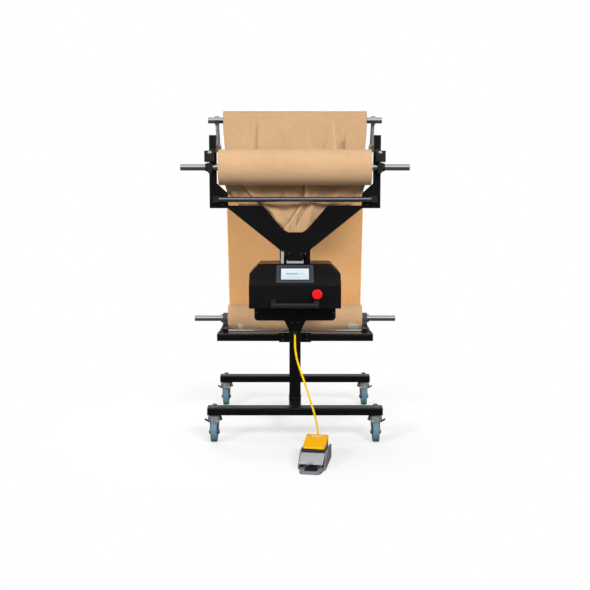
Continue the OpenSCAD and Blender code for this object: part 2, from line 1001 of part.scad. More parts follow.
// Section of the head in X and Z, set in by a wall
module head_section(inset, low) {
    half = head_half - inset;
    top = head_top - inset;
    cut = head_cut - inset * (2 - sqrt(2));
    polygon([
        [-half, low],
        [half, low],
        [half, top - cut],
        [half - cut, top],
        [cut - half, top],
        [-half, top - cut]
    ]);
}

module head_housing() {
    back = split_y + split_gap;
    color(black) {
        difference() {
            along_y(back, head_rear)
                head_section(0, head_low);
            along_y(back - 1, head_rear - skin)
                head_section(skin, head_low + skin);
            box(-head_half - 1, head_half + 1, back - 1, column_front + skin, head_low - 1, head_low + skin);
            along_y(back - 1, column_front + skin)
                head_section(skin, head_low - 1);
            box(-inlet_half, inlet_half, inlet_front, column_front + 0.5, head_top - 20, head_top + 1);
            for (i = [0:5])
                box(-70, 30, head_rear - skin - 1, head_rear + 1,
                    vent_low + 10 * i, vent_low + 10 * i + 4);
            box(socket_x - socket_w / 2, socket_x + socket_w / 2, head_rear - skin - 1, head_rear + 1,
                socket_z - socket_h / 2, socket_z + socket_h / 2);
            both_sides()
                box(hinge_in - side, hinge_mid + side, back - 1, hinge_y + knuckle_r + side,
                    head_top - 10, head_top + 1);
        }
        both_sides() {
            box(plate_half - 8, head_half - 1, column_front, column_front + skin,
                head_low + skin - 1, head_top - head_cut - 4);
            bar_x(hinge_mid + side, hinge_half, hinge_y, hinge_z, knuckle_r);
            bar_x(hinge_in - 2, hinge_half, hinge_y, hinge_z, hinge_pin_r);
        }
    }
}

// Places a piece on the middle of the sloped panel, with Z out of the panel
module on_slope() {
    translate(slope_mid)
        rotate([slope_angle, 0, 0])
            children();
}

module cover_profile(inset, back, low) {
    drop = inset / cos(slope_angle);
    turn = slope_low - inset * tan((90 - slope_angle) / 2);
    top = cover_back_z - drop + (back - split_y) * tan(slope_angle);
    polygon([
        [head_front + inset, low],
        [head_front + inset, turn],
        [back, top],
        [back, low]
    ]);
}

module front_cover() {
    color(black)
        difference() {
            union() {
                difference() {
                    intersection() {
                        along_y(head_front, split_y)
                            head_section(0, head_low);
                        along_x(-head_half - 1, head_half + 1)
                            cover_profile(0, split_y, head_low);
                    }
                    intersection() {
                        along_y(head_front + skin, split_y + 1)
                            head_section(skin, head_low - 1);
                        along_x(-head_half - 1, head_half + 1)
                            cover_profile(skin, split_y + 1, head_low - 1);
                    }
                    both_sides()
                        box(hinge_mid, hinge_half + side, hinge_y - knuckle_r - side, split_y + 1,
                            head_top - 12, head_top + 1);
                }
                box(-head_half + 1, head_half - 1, head_front + 1, head_front + fold,
                    head_low, head_low + skin);
                both_sides()
                    bar_x(hinge_in, hinge_mid, hinge_y, hinge_z, knuckle_r);
            }
            both_sides()
                bar_x(hinge_in - 1, hinge_mid + 1, hinge_y, hinge_z, hinge_pin_r + run);
            on_slope()
                cube([bezel_w - 11.6, bezel_h - 11.6, 30], center = true);
            bar_y(head_front - 1, head_front + skin + 1, estop_x, estop_z, estop_hole + 0.1);
        }
}

module cover_handle() {
    bar_mid = head_front - handle_out + handle_bar / 2;
    color(dark) {
        along_x(-handle_half + 4, handle_half - 4)
            translate([bar_mid, handle_z])
                round_rect(handle_bar, handle_high, 7);
        both_sides()
            along_y(head_front - handle_out + 2, head_front)
                translate([handle_half - handle_foot / 2, handle_z + (handle_tall - handle_high) / 2])
                    round_rect(handle_foot, handle_tall, 7);
    }
}

module screen_bezel() {
    color(dark)
        on_slope()
            difference() {
                union() {
                    linear_extrude(bezel_t)
                        round_rect(bezel_w, bezel_h, 6);
                    translate([0, 0, -body_deep])
                        linear_extrude(body_deep)
                            round_rect(bezel_w - 12, bezel_h - 12, 3);
                }
                translate([0, 0, bezel_t - glass_t])
                    linear_extrude(glass_t + 1)
                        square([glass_w + 0.2, glass_h + 0.2], center = true);
            }
}

module screen_panel() {
    color([0.86, 0.92, 0.95])
        on_slope()
            translate([0, 0, bezel_t - glass_t])
                linear_extrude(glass_t - 0.2)
                    square([glass_w, glass_h], center = true);
}

module estop_collar() {
    color(dark)
        difference() {
            union() {
                bar_y(head_front - collar_len, head_front, estop_x, estop_z, collar_r);
                bar_y(head_front - 1, head_front + skin + 5, estop_x, estop_z, estop_hole);
                box(estop_x - 15, estop_x + 15, head_front + skin, head_front + 36,
                    estop_z - 15, estop_z + 15);
            }
            bar_y(head_front - collar_len - 1, head_front + 14, estop_x, estop_z, 8 + run);
        }
}

module estop_button() {
    back = head_front - collar_len - press - 0.6;
    color([0.8, 0.06, 0.07]) {
        bar_y(back - 1, head_front + 8, estop_x, estop_z, 8);
        translate([estop_x, back, estop_z])
            rotate([90, 0, 0])
                rotate_extrude() {
                    square([estop_r - 3, 14]);
                    square([estop_r, 8]);
                    intersection() {
                        translate([estop_r - 6, 8])
                            circle(6);
                        square([estop_r, 14]);
                    }
                }
    }
}

// Drive

// Outline of a crimp wheel around its shaft
module crimp_outline(phase) {
    step = 360 / crimp_teeth;
    tip = crimp_r + tooth_high;
    root = crimp_r - tooth_high - 0.6;
    polygon([for (i = [0:crimp_teeth - 1])
        each [
            root * [cos(step * i + phase - 6.8), sin(step * i + phase - 6.8)],
            tip * [cos(step * i + phase - 2.6), sin(step * i + phase - 2.6)],
            tip * [cos(step * i + phase + 2.6), sin(step * i + phase + 2.6)],
            root * [cos(step * i + phase + 6.8), sin(step * i + phase + 6.8)]
        ]]);
}

module crimp_shaft(y, phase, right_end) {
    bar_x(-cheek_out - 8, right_end, y, crimp_z, shaft_r);
    both_sides() {
        along_x(crimp_in, crimp_out)
            translate([y, crimp_z])
                crimp_outline(phase);
        bar_x(crimp_out, cheek_x - 3, y, crimp_z, shaft_r + 4);
    }
}

module drive_rollers() {
    color(zinc)
        crimp_shaft(drive_y, 180, cheek_out + gearbox_wide - 8);
}

module idler_rollers() {
    color(zinc)
        crimp_shaft(idler_y, 180 / crimp_teeth, cheek_out + 8);
}

module shaft_bearings() {
    color([0.6, 0.61, 0.62])
        for (x = [-cheek_out, cheek_x], y = [drive_y, idler_y])
            difference() {
                bar_x(x - 1, x + cheek_thick, y, crimp_z, ball_r);
                bar_x(x - 2, x + cheek_thick + 1, y, crimp_z, shaft_r + run);
            }
}

module bearing_plates() {
    front = idler_y - ball_r - 10;
    back = drive_y + ball_r + 16;
    color(zinc)
        difference() {
            union() {
                for (x = [-cheek_out, cheek_x])
                    along_x(x, x + cheek_thick) {
                        polygon(rounded([
                            [front, crimp_z - 24],
                            [back, crimp_z - 24],
                            [back, crimp_z + 24],
                            [front, crimp_z + 24]
                        ], [8, 4, 4, 8]));
                        translate([column_front, window_low - 12])
                            square([back - column_front, window_high - window_low + 24]);
                    }
                for (z = [window_low - 12, window_high]) {
                    box(-cheek_out - 16, -cheek_x, column_front, column_front + 4, z, z + 12);
                    box(cheek_x, cheek_out + 16, column_front, column_front + 4, z, z + 12);
                }
                for (z = [crimp_z - 32, crimp_z + 32])
                    bar_x(-cheek_x - 1, cheek_x + 1, back - 8, z, 5);
            }
            for (y = [drive_y, idler_y])
                bar_x(-cheek_out - 1, cheek_out + 1, y, crimp_z, ball_r);
        }
}

module drive_motor() {
    start = cheek_out;
    finish = cheek_out + gearbox_wide;
    motor_y = drive_y + 24;
    color(dark)
        difference() {
            union() {
                along_x(start, finish)
                    translate([drive_y, crimp_z])
                        round_rect(50, 56, 6);
                bar_y(motor_y, motor_y + 82, (start + finish) / 2, crimp_z - 6, 19);
                bar_y(motor_y + 82, motor_y + 88, (start + finish) / 2, crimp_z - 6, 9);
            }
            bar_x(start - 1, finish - 6, drive_y, crimp_z, shaft_r + run);
        }
}

module control_box() {
    front = control_back - control_deep;
    top = head_low + skin + control_high;
    color([0.2, 0.22, 0.24]) {
        box(control_left, control_left + control_wide, front, control_back, head_low + skin, top);
        for (i = [0:5])
            box(control_left + 6 + 10 * i, control_left + 13 + 10 * i, front - 2, front + 22, top, top + 8);
    }
}

module power_inlet() {
    rim = 5;
    half_w = socket_w / 2;
    half_h = socket_h / 2;
    color(dark)
        translate([socket_x, head_rear, socket_z])
            difference() {
                union() {
                    box(0.2 - half_w, half_w - 0.2, -24, 0, 0.2 - half_h, half_h - 0.2);
                    box(-half_w - rim, half_w + rim, 0, 3, -half_h - rim, half_h + rim);
                }
                box(-14, 14, -16, 4, -9, 9);
            }
}

module tear_blade() {
    teeth = 15;
    step = 10;
    low = head_low + 8;
    points = concat(
        [for (i = [0:teeth - 1])
            each [[(i - teeth / 2) * step, low + 5], [(i - teeth / 2 + 0.5) * step, low]]],
        [[teeth / 2 * step, low + 5], [teeth / 2 * step, low + 26], [-teeth / 2 * step, low + 26]]
    );
    color(zinc) {
        along_y(plate_front - 6, plate_front - 4)
            polygon(points);
        both_sides()
            bar_y(plate_front - 4, plate_front, 55, low + 18, 6);
    }
}

// Bolts that hold the frame, one head for each

module bolt_front(x, y, z, r, h) {
    translate([x, y, z])
        rotate([90, 0, 0])
            dome_bolt(r, h);
}

module bolt_up(x, y, z, r, h) {
    translate([x, y, z])
        dome_bolt(r, h);
}

module frame_bolts() {
    color([0.3, 0.3, 0.32]) {
        both_sides() {
            bolt_front(48, column_back, carrier_top - 4, 6, 5);
            bolt_front(48, column_back, carrier_z + 7, 6, 5);
            bolt_front(plate_half - 10, plate_front, plate_low + 32, 5, 4);
            bolt_front(14, plate_front, plate_low - 8, 6, 5);
            bolt_front(ear_in + 24, post_front, ear_top - 48, 6, 5);
            bolt_front(ear_in + 24, post_front, y_top + 4, 6, 5);
            bolt_front(24, post_front, y_low - 12, 4, 3.5);
            bolt_up((arm_in + arm_out) / 2, lower_y - 29.6, arm_top + bearing_foot, 4.2, 4);
            bolt_up((arm_in + arm_out) / 2, lower_y + 29.6, arm_top + bearing_foot, 4.2, 4);
            bolt_up((arm_in + arm_out) / 2, tie_y + 30, arm_top, 6, 5);
            bolt_up((arm_in + arm_out) / 2, tie_y + 58, arm_top, 6, 5);
        }
        for (y = [-1, 1])
            bolt_up(0, column_mid + y * (column_wide / 2 + 12), beam_top + flange_thick, 6, 5);
        translate([0, -beam_y, castor_high])
            mirror([0, 0, 1])
                dome_bolt(8, 6);
    }
}

// Foot switch and its cable

// Route of the cable from the neck to the foot switch
route = [
    [0, clip_y, neck_low - 5],
    [0, clip_y, neck_low - 31],
    [0, -199, 368],
    [2, -203, 340],
    [9, -214, 305],
    [21, -232, 268],
    [35, -256, 232],
    [48, -286, 198],
    [59, -320, 167],
    [70, -357, 139],
    [79, -395, 114],
    [85, -432, 92],
    [88, -468, 73],
    [89, -500, 60],
    [88.5, -528, 52],
    [88, -540, 50]
];

module foot_cable() {
    sides = 8;
    last = len(route) - 1;
    function along(i) = route[min(last, i + 1)] - route[max(0, i - 1)];
    function ring(i) =
        let (t = along(i) / norm(along(i)), e = cross([1, 0, 0], t))
        let (v = e / norm(e), u = cross(v, t))
        [for (k = [0:sides - 1])
            route[i] + cable_d / 2 * (cos(360 * k / sides) * u + sin(360 * k / sides) * v)];
    points = [for (i = [0:last]) each ring(i)];
    walls = [for (i = [0:last - 1], k = [0:sides - 1])
        let (a = i * sides + k, b = i * sides + (k + 1) % sides)
        each [[a, b, b + sides], [a, b + sides, a + sides]]];
    ends = [
        [for (k = [sides - 1:-1:0]) k],
        [for (k = [0:sides - 1]) last * sides + k]
    ];
    color([0.95, 0.75, 0.05])
        polyhedron(points, concat(walls, ends));
}

module cable_gland() {
    color(dark)
        difference() {
            union() {
                box(-11, 11, clip_y - 11, column_front, clip_low + 3, neck_low - 1);
                bar_z(clip_low, clip_low + 4, 0, clip_y, 7.5);
            }
            bar_z(clip_low - 1, neck_low, 0, clip_y, cable_d / 2 + 0.15);
        }
}

module foot_frame() {
    translate([foot_x, foot_y, 0])
        rotate([0, 0, foot_turn])
            children();
}

// Height of the sloped cover of the foot switch
function cover_z(y) = mix(cover_front_z, foot_high, (y - cover_front) / (cover_back - cover_front));

module foot_base() {
    half = foot_wide / 2;
    color([0.72, 0.73, 0.74])
        foot_frame() {
            difference() {
                union() {
                    linear_extrude(foot_plate)
                        polygon(rounded([
                            [-half, foot_back],
                            [-half, -30],
                            [-half + 14, -foot_back],
                            [half - 14, -foot_back],
                            [half, -30],
                            [half, foot_back]
                        ], [6, 20, 16, 16, 20, 6]));
                    both_sides()
                        along_x(half - wing_thick, half)
                            polygon(rounded([
                                [-62, 1],
                                [-62, foot_plate + 8],
                                [-6, pedal_pin_z + 8],
                                [foot_back, pedal_pin_z + 2],
                                [foot_back, 1]
                            ], [0, 6, 12, 8, 0]));
                    along_x(-cover_half, cover_half)
                        polygon([
                            [20, 1],
                            [20, cover_z(20) - cover_thick],
                            [cover_back, cover_z(cover_back) - cover_thick],
                            [cover_back, 1]
                        ]);
                    bar_x(-half + 1, half - 1, pedal_pin_y, pedal_pin_z, pedal_pin_r);
                    bar_y(cover_back - 1, foot_back + gland_len, 0, gland_z, gland_r);
                    box(-12, 12, cover_back - 1, foot_back, 1, gland_z + 12);
                }
                bar_y(cover_back + 8, foot_back + gland_len + 1, 0, gland_z, cable_d / 2 + 2);
            }
        }
}

module foot_housing() {
    color([0.93, 0.4, 0.08])
        foot_frame()
            intersection() {
                along_x(-cover_half - 2, cover_half + 2)
                    polygon(rounded([
                        [cover_front, cover_z(cover_front) - cover_thick],
                        [cover_back, cover_z(cover_back) - cover_thick],
                        [cover_back, cover_z(cover_back)],
                        [cover_front, cover_z(cover_front)]
                    ], [0, 0, 4, 4]));
                translate([0, (cover_front + cover_back) / 2, 0])
                    linear_extrude(2 * foot_high)
                        round_rect(2 * cover_half + 4, cover_back - cover_front, 8);
            }
}

module foot_pedal() {
    half = foot_wide / 2 - wing_thick - 1;
    nose = -84;
    color([0.82, 0.83, 0.83])
        foot_frame()
            difference() {
                union() {
                    bar_x(-half, half, pedal_pin_y, pedal_pin_z, 7);
                    along_x(-half, half)
                        polygon(rounded([
                            [pedal_pin_y, pedal_pin_z + 7],
                            [-8, pedal_pin_z + 8],
                            [nose, 34],
                            [nose - 3, 25],
                            [-8, pedal_pin_z - 3],
                            [pedal_pin_y, pedal_pin_z - 7]
                        ], [0, 6, 4, 3, 6, 0]));
                }
                bar_x(-half - 1, half + 1, pedal_pin_y, pedal_pin_z, pedal_pin_r + run);
                translate([0, nose - 4, 0])
                    cylinder(r = 9, h = 60);
            }
}

base_front_beam();
base_rear_beam();
base_spine();
end_caps();
castor_bolts();
fork_front_left();
fork_front_right();
fork_rear_left();
fork_rear_right();
wheel_front_left();
wheel_front_right();
wheel_rear_left();
wheel_rear_right();
brake_front_left();
brake_front_right();
brake_rear_left();
brake_rear_right();
column();
mount_plate();
lower_carrier();
lower_tie_rod();
lower_bearings();
lower_spindle();
lower_roll();
side_frames();
upper_bearings();
latch_left();
latch_right();
upper_spindle();
upper_roll();
y_plate();
front_guide_bar();
top_arms();
top_roller();
paper_web();
paper_gather();
paper_funnel();
throat_chute();
throat_bracket();
head_housing();
bearing_plates();
shaft_bearings();
drive_motor();
drive_rollers();
idler_rollers();
control_box();
power_inlet();
tear_blade();
front_cover();
cover_handle();
screen_bezel();
screen_panel();
estop_collar();
estop_button();
frame_bolts();
cable_gland();
foot_cable();
foot_base();
foot_housing();
foot_pedal();
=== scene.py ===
# %% [markdown]
# A paper void fill machine stands on four castors. Two rolls of kraft paper feed a head that
# crumples them into padding, and a foot switch on a yellow cable starts it. The construction comes
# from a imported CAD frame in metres. This lesson gives every surface its finish, and makes the soft
# things, two sheets of paper and a cable, that a plain solid can't look like. The middles of the two
# rolls and of the top roller, in Y and Z, are named at once.

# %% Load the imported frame
import math

import bpy
import numpy as np
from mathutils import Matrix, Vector, noise


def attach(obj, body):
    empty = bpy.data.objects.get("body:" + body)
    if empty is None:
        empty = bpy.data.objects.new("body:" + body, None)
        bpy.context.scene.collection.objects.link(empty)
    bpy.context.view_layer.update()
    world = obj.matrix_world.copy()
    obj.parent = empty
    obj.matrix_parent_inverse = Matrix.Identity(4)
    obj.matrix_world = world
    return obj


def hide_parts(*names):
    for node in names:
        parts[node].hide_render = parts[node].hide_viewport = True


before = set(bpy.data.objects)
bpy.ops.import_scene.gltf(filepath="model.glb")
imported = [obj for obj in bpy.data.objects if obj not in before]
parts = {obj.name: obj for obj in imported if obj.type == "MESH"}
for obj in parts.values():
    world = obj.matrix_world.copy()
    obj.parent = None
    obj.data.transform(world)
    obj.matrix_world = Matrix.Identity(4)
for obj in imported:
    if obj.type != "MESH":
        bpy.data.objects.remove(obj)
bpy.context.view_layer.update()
scene = bpy.context.scene
scene.view_settings.view_transform = "Standard"
PAPER_WIDE = 0.6
UPPER, LOWER, ROLLER = np.array(((-0.263, 1.087), (0.184, 0.423), (0.015, 1.291)))


def link(name, data):
    """Puts data into the scene as an object."""
    piece = bpy.data.objects.new(name, data)
    scene.collection.objects.link(piece)
    return piece


def new_mesh(name, points, faces):
    data = bpy.data.meshes.new(name)
    data.from_pydata(points, [], faces)
    return data


# %% [markdown]
# The camera comes first, because the cable is measured against its view. The photograph looks
# straight at the front, a little downwards, with a long lens: the rear beam is only slightly
# smaller than the front one. Three numbers hold that view: the distance, the height and the tilt.

# %% Camera
SENSOR, LENS = 36.0, 54.9
DISTANCE, HEIGHT, TILT = 3.851, 0.989, 83.49
camera_data = bpy.data.cameras.new("front_camera")
camera_data.sensor_width = SENSOR
camera_data.lens = LENS
camera = link("front_camera", camera_data)
camera.location = (0, -DISTANCE, HEIGHT)
camera.rotation_euler = (math.radians(TILT), 0, 0)
scene.camera = camera
print("camera with a", LENS, "mm lens,", DISTANCE, "m in front")

# %% [markdown]
# The yellow cable leaves the neck of the machine, hangs in front of the column, swings out over the
# front beam and runs into the back of the foot switch. It is seen from end to end, so its length is
# the length of this route. A smooth line through a few round points is enough: each point stands
# where the cable would hang by its own weight.

# %% Cable route
CABLE_WIDE = 0.0084
route = np.array([
    (0, -198, 418), (0, -198, 392), (0, -199, 368), (2, -203, 340), (9, -214, 305), (21, -232, 268),
    (35, -256, 232), (48, -286, 198), (59, -320, 167), (70, -357, 139), (79, -395, 114), (85, -432, 92),
    (88, -468, 73), (89, -500, 60), (88.5, -528, 52), (88, -540, 50),
]) / 1000


def smooth_line(points, steps):
    """A Catmull-Rom line through the points, with that many steps between each two."""
    padded = np.vstack([2 * points[0] - points[1], points, 2 * points[-1] - points[-2]])
    line = []
    for a, b, c, d in zip(padded, padded[1:], padded[2:], padded[3:]):
        for t in np.arange(steps) / steps:
            line.append(0.5 * (2 * b + (c - a) * t + (2 * a - 5 * b + 4 * c - d) * t ** 2
                               + (3 * b - a - 3 * c + d) * t ** 3))
    return np.array(line + [points[-1]])


def round_curve(name, lines, sides):
    """A curve with a round section. Each line is its points and the radius at each of them."""
    data = bpy.data.curves.new(name, "CURVE")
    data.dimensions = "3D"
    data.bevel_depth = 1.0
    data.bevel_resolution = sides
    data.use_fill_caps = True
    for points, radii in lines:
        spline = data.splines.new("POLY")
        spline.points.add(len(points) - 1)
        spline.points.foreach_set("co", np.c_[points, np.ones(len(points))].ravel())
        spline.points.foreach_set("radius", radii)
    return data


cable_line = smooth_line(route, 8)
cable_radii = np.full(len(cable_line), CABLE_WIDE / 2)
cable = link("yellow_cable", round_curve("yellow_cable", [(cable_line, cable_radii)], 6))
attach(cable, "stand")
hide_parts("foot_cable")

# %% [markdown]
# Every finish below is a small network of shader nodes. Wiring them one by one hides the idea, so a
# Wire stands for one socket and does arithmetic: `1 - mask * 0.4` adds the two Math nodes.

# %% Shader maths
def two_sided(operation):
    """A method that adds one Math node for a wire and another value."""
    return lambda self, other: self.math(operation, self, other)


class Wire:
    """One output socket; the operators add Math nodes."""

    def __init__(self, shader, socket):
        self.shader = shader
        self.socket = socket

    def math(self, operation, *values):
        return self.shader.add("Math", {"operation": operation}, dict(enumerate(values)))

    __add__ = __radd__ = two_sided("ADD")
    __sub__ = two_sided("SUBTRACT")
    __mul__ = __rmul__ = two_sided("MULTIPLY")
    __truediv__ = two_sided("DIVIDE")
    __pow__ = two_sided("POWER")
    __gt__ = two_sided("GREATER_THAN")
    __lt__ = two_sided("LESS_THAN")
    most = two_sided("MAXIMUM")

    def __rsub__(self, other):
        return self.math("SUBTRACT", other, self)

    def __rtruediv__(self, other):
        return self.math("DIVIDE", other, self)

    def __abs__(self):
        return self.math("ABSOLUTE", self)

    def sine(self):
        return self.math("SINE", self)

    def ease(self, low, high):
        """0 below low, 1 above high, and smooth between them."""
        return self.shader.add("MapRange", {"interpolation_type": "SMOOTHSTEP"},
                               {"Value": self, "From Min": low, "From Max": high})


print("wires ready")

# %% [markdown]
# A Shader has one method that adds any node, from its type, its settings and its inputs. An input is
# either a Wire, which is linked, or a plain value, which is set on the socket.

# %% One way to add a node
class Shader:
    """A node tree that starts empty."""

    def __init__(self, tree):
        self.tree = tree
        tree.nodes.clear()

    def add(self, kind, settings=None, inputs=None, out=0):
        node = self.tree.nodes.new("ShaderNode" + kind)
        for key, value in (settings or {}).items():
            setattr(node, key, value)
        for key, value in (inputs or {}).items():
            if isinstance(value, Wire):
                self.tree.links.new(value.socket, node.inputs[key])
            else:
                node.inputs[key].default_value = value
        return Wire(self, node.outputs[out] if len(node.outputs) else None)


print("shader ready")

# %% [markdown]
# Most finishes share a few ideas: a place on the piece, noise at some scale, a mix of two colours,
# and edges. The frame's pieces sit at the origin, so object coordinates are metres in the machine's
# own frame and a pattern keeps its real scale. An edge is found by comparing the true normal with a
# rounded one from the Bevel node; that rounded normal also softens the highlight along each edge.

# %% Shared patterns
class Finish(Shader):
    """A material with the patterns that the finishes share."""

    def __init__(self, name):
        self.material = bpy.data.materials.new(name)
        self.material.use_nodes = True
        super().__init__(self.material.node_tree)
        self.spot = self.add("TexCoord", out=3)
        self.rounded = None

    def stretched(self, scale):
        return self.add("VectorMath", {"operation": "MULTIPLY"}, {0: self.spot, 1: scale})

    def speckle(self, size, detail=3, stretch=(1, 1, 1)):
        """Noise from 0 to 1 whose grains are about that many metres."""
        where = self.stretched(tuple(s / size for s in stretch))
        return self.add("TexNoise", None, {"Vector": where, "Scale": 1, "Detail": detail,
                                           "Roughness": 0.55})

    def cells(self, size):
        """Distance from the nearest of scattered points, in units of that many metres."""
        where = self.stretched((1 / size,) * 3)
        return self.add("TexVoronoi", None, {"Vector": where, "Scale": 1})

    def along(self):
        """The three coordinates as separate wires."""
        split = self.add("SeparateXYZ", None, {0: self.spot}).socket.node
        return [Wire(self, o) for o in split.outputs]

    def blend(self, share, a, b):
        """A mix of two colours, each a wire or three numbers."""
        a, b = ((*c, 1) if isinstance(c, tuple) else c for c in (a, b))
        return self.add("Mix", {"data_type": "RGBA"}, {0: share, 6: a, 7: b}, out=2)

    def edges(self, width):
        """1 on edges and corners that a hand or a box would rub, 0 on flats."""
        self.rounded = self.add("Bevel", {"samples": 4}, {"Radius": width})
        sharp = self.add("NewGeometry", out=1)
        facing = self.add("VectorMath", {"operation": "DOT_PRODUCT"}, {0: self.rounded, 1: sharp},
                          out=1)
        return (1 - facing).ease(0.02, 0.2)

    def relief(self, height, depth):
        """A normal from a height field, over the rounded normal where there is one."""
        inputs = {"Height": height, "Distance": depth, "Strength": 1.0}
        if self.rounded:
            inputs["Normal"] = self.rounded
        return self.add("Bump", None, inputs)

    def coat(self, **inputs):
        """Ends the network in a Principled shader; the words name its sockets."""
        named = {key.replace("_", " ").title().replace("Ior", "IOR"): value
                 for key, value in inputs.items()}
        shader = self.add("BsdfPrincipled", None, named)
        self.add("OutputMaterial", None, {"Surface": shader})
        return self.material


def shade(tone, by):
    """A colour made darker or lighter."""
    return tuple(by * c for c in tone)


def dress(material, *names):
    """Gives CAD pieces one finish."""
    for name in names:
        mesh = parts[name].data
        mesh.materials.clear()
        mesh.materials.append(material)
    print(material.name, "on", len(names), "pieces")


def dress_some(name, material, chosen):
    """Gives a CAD piece a second finish on the faces that a test of their centres chooses."""
    mesh = parts[name].data
    mesh.materials.append(material)
    index = len(mesh.materials) - 1
    faces = [f for f in mesh.polygons if chosen(f.center)]
    for face in faces:
        face.material_index = index
    print(material.name, "on", len(faces), "faces of", name)


print("patterns ready")

# %% [markdown]
# The frame and the head are steel with a satin black powder coat. Powder coat isn't a flat black:
# it has a fine orange peel, tiny pale specks of dust, patches that are a little more matt where
# hands touch, and edges where the coat is thin and rubbed grey.

# %% Black powder coat
def powder_coat(name, tone, gloss):
    f = Finish(name)
    rub = f.edges(0.0012)
    cloud = f.speckle(0.09, detail=4)
    peel = f.speckle(0.0016, detail=2)
    grit = f.cells(0.0045)
    dust = f.speckle(0.0009, detail=1).ease(0.68, 0.78) * f.speckle(0.05).ease(0.4, 0.7)
    chips = rub * f.speckle(0.006, detail=4).ease(0.42, 0.7)
    black = f.blend(cloud, shade(tone, 0.75), shade(tone, 1.3))
    dusty = f.blend(dust * 0.4, black, (0.05, 0.049, 0.047))
    colour = f.blend(chips * 0.4, dusty, (0.06, 0.06, 0.063))
    rough = gloss + (cloud - 0.5) * 0.16 + dust * 0.2 - chips * 0.1
    height = peel * 0.7 + grit * 0.3
    return f.coat(base_color=colour, roughness=rough, normal=f.relief(height, 0.00016),
                  specular_ior_level=0.36)


frame_black = powder_coat("black_powder_coat", (0.0032, 0.0032, 0.0034), 0.3)
head_black = powder_coat("black_head_coat", (0.0042, 0.0042, 0.0045), 0.32)
dress(frame_black, "base_front_beam", "base_rear_beam", "base_spine", "column", "mount_plate",
      "lower_carrier", "side_frames", "y_plate", "throat_bracket")
dress(head_black, "head_housing", "front_cover")

# %% [markdown]
# There are three bright metals. The spindles and guide bars are drawn steel bars with a bright zinc
# or chrome skin: fine lines run round them and the surface is a little streaked. The forks of the
# castors are pressed from sheet and zinc plated, with a cloudy, faintly blue and yellow sheen. The top
# roller is a satin aluminium tube. The throat's left cheek and lip are a paler, less metallic zinc
# that is a painted reflection of a bright light; its right cheek is in black.

# %% Bright metals
def turned_bar(name, tone, rough_low, rough_high):
    f = Finish(name)
    f.edges(0.0008)
    lines = f.speckle(0.0009, detail=2, stretch=(1, 0.02, 0.02))
    streak = f.speckle(0.03, detail=4, stretch=(0.12, 1, 1))
    stain = f.speckle(0.05, detail=5).ease(0.52, 0.74)
    bright = f.blend(streak, shade(tone, 0.8), tone)
    colour = f.blend(stain * 0.3, bright, shade(tone, 0.6))
    rough = rough_low + (rough_high - rough_low) * streak + lines * 0.05 + stain * 0.1
    return f.coat(base_color=colour, metallic=1.0, roughness=rough, normal=f.relief(lines, 0.000008))


def zinc_sheet(name, depth, metal=1.0):
    f = Finish(name)
    rub = f.edges(0.0012)
    spangle = f.cells(0.004)
    cloud = f.speckle(0.012, detail=4)
    scratch = f.speckle(0.003, detail=3, stretch=(1, 0.08, 1)).ease(0.6, 0.72)
    bluish = f.blend(cloud, shade((0.6, 0.645, 0.675), depth), shade((0.81, 0.81, 0.765), depth))
    colour = f.blend(rub * 0.5, bluish, (depth, depth, depth))
    rough = 0.3 + cloud * 0.16 + scratch * 0.12 - rub * 0.1
    return f.coat(base_color=colour, metallic=metal, roughness=rough,
                  normal=f.relief(spangle * 0.4 + scratch * 0.6, 0.00006))


bright_bar = turned_bar("bright_bar", (0.66, 0.68, 0.7), 0.15, 0.24)
dark_bar = turned_bar("dark_bar", (0.34, 0.37, 0.41), 0.17, 0.26)
satin_roller = turned_bar("satin_roller", (0.62, 0.63, 0.65), 0.32, 0.46)
zinc = zinc_sheet("zinc_plate", 0.66)
fork_zinc = zinc_sheet("fork_zinc", 0.44)
# A paler, less metallic zinc for the throat: a painted reflection of a bright light.
throat_painted_reflection = zinc_sheet("throat_painted_reflection", 0.74, 0.3)
RIGHT_CHEEK = 0.04
dress(bright_bar, "lower_spindle", "upper_spindle", "top_arms", "lower_tie_rod", "drive_rollers",
      "idler_rollers", "shaft_bearings")
dress(dark_bar, "front_guide_bar")
dress(satin_roller, "top_roller")
dress(zinc, "castor_bolts", "bearing_plates", "tear_blade")
dress(throat_painted_reflection, "throat_chute")
dress_some("throat_chute", frame_black, lambda c: c.x > RIGHT_CHEEK)

# %% [markdown]
# The castor wheels have a blue grey rubber tread on a grey plastic hub. One mesh holds both, so the
# faces are sorted by their distance from the axle. The tread is scuffed and dusty, as rubber that
# rolls on a packing floor gets.

# %% Castors
TREAD_FROM = 0.0275
AXLE_Y, AXLE_Z = {"front": -0.343, "rear": 0.287}, 0.04


def castor_rubber():
    f = Finish("castor_tread")
    f.edges(0.0008)
    scuff = f.speckle(0.007, detail=5).ease(0.45, 0.75)
    grain = f.speckle(0.0007, detail=2)
    colour = f.blend(scuff * 0.55, (0.115, 0.225, 0.285), (0.25, 0.33, 0.365))
    return f.coat(base_color=colour, roughness=0.5 + scuff * 0.25, normal=f.relief(grain, 0.0001))


def moulded(name, tone, rough, wear=(0.05, 0.05, 0.052)):
    """Moulded plastic with a spark eroded grain, paler where it is rubbed."""
    f = Finish(name)
    rub = f.edges(0.0009)
    grain = f.speckle(0.0009, detail=2)
    haze = f.speckle(0.03, detail=4)
    body = f.blend(haze, shade(tone, 0.82), shade(tone, 1.16))
    colour = f.blend(rub * 0.45, body, wear)
    return f.coat(base_color=colour, roughness=rough + (haze - 0.5) * 0.16 - rub * 0.08,
                  normal=f.relief(grain, 0.00012))


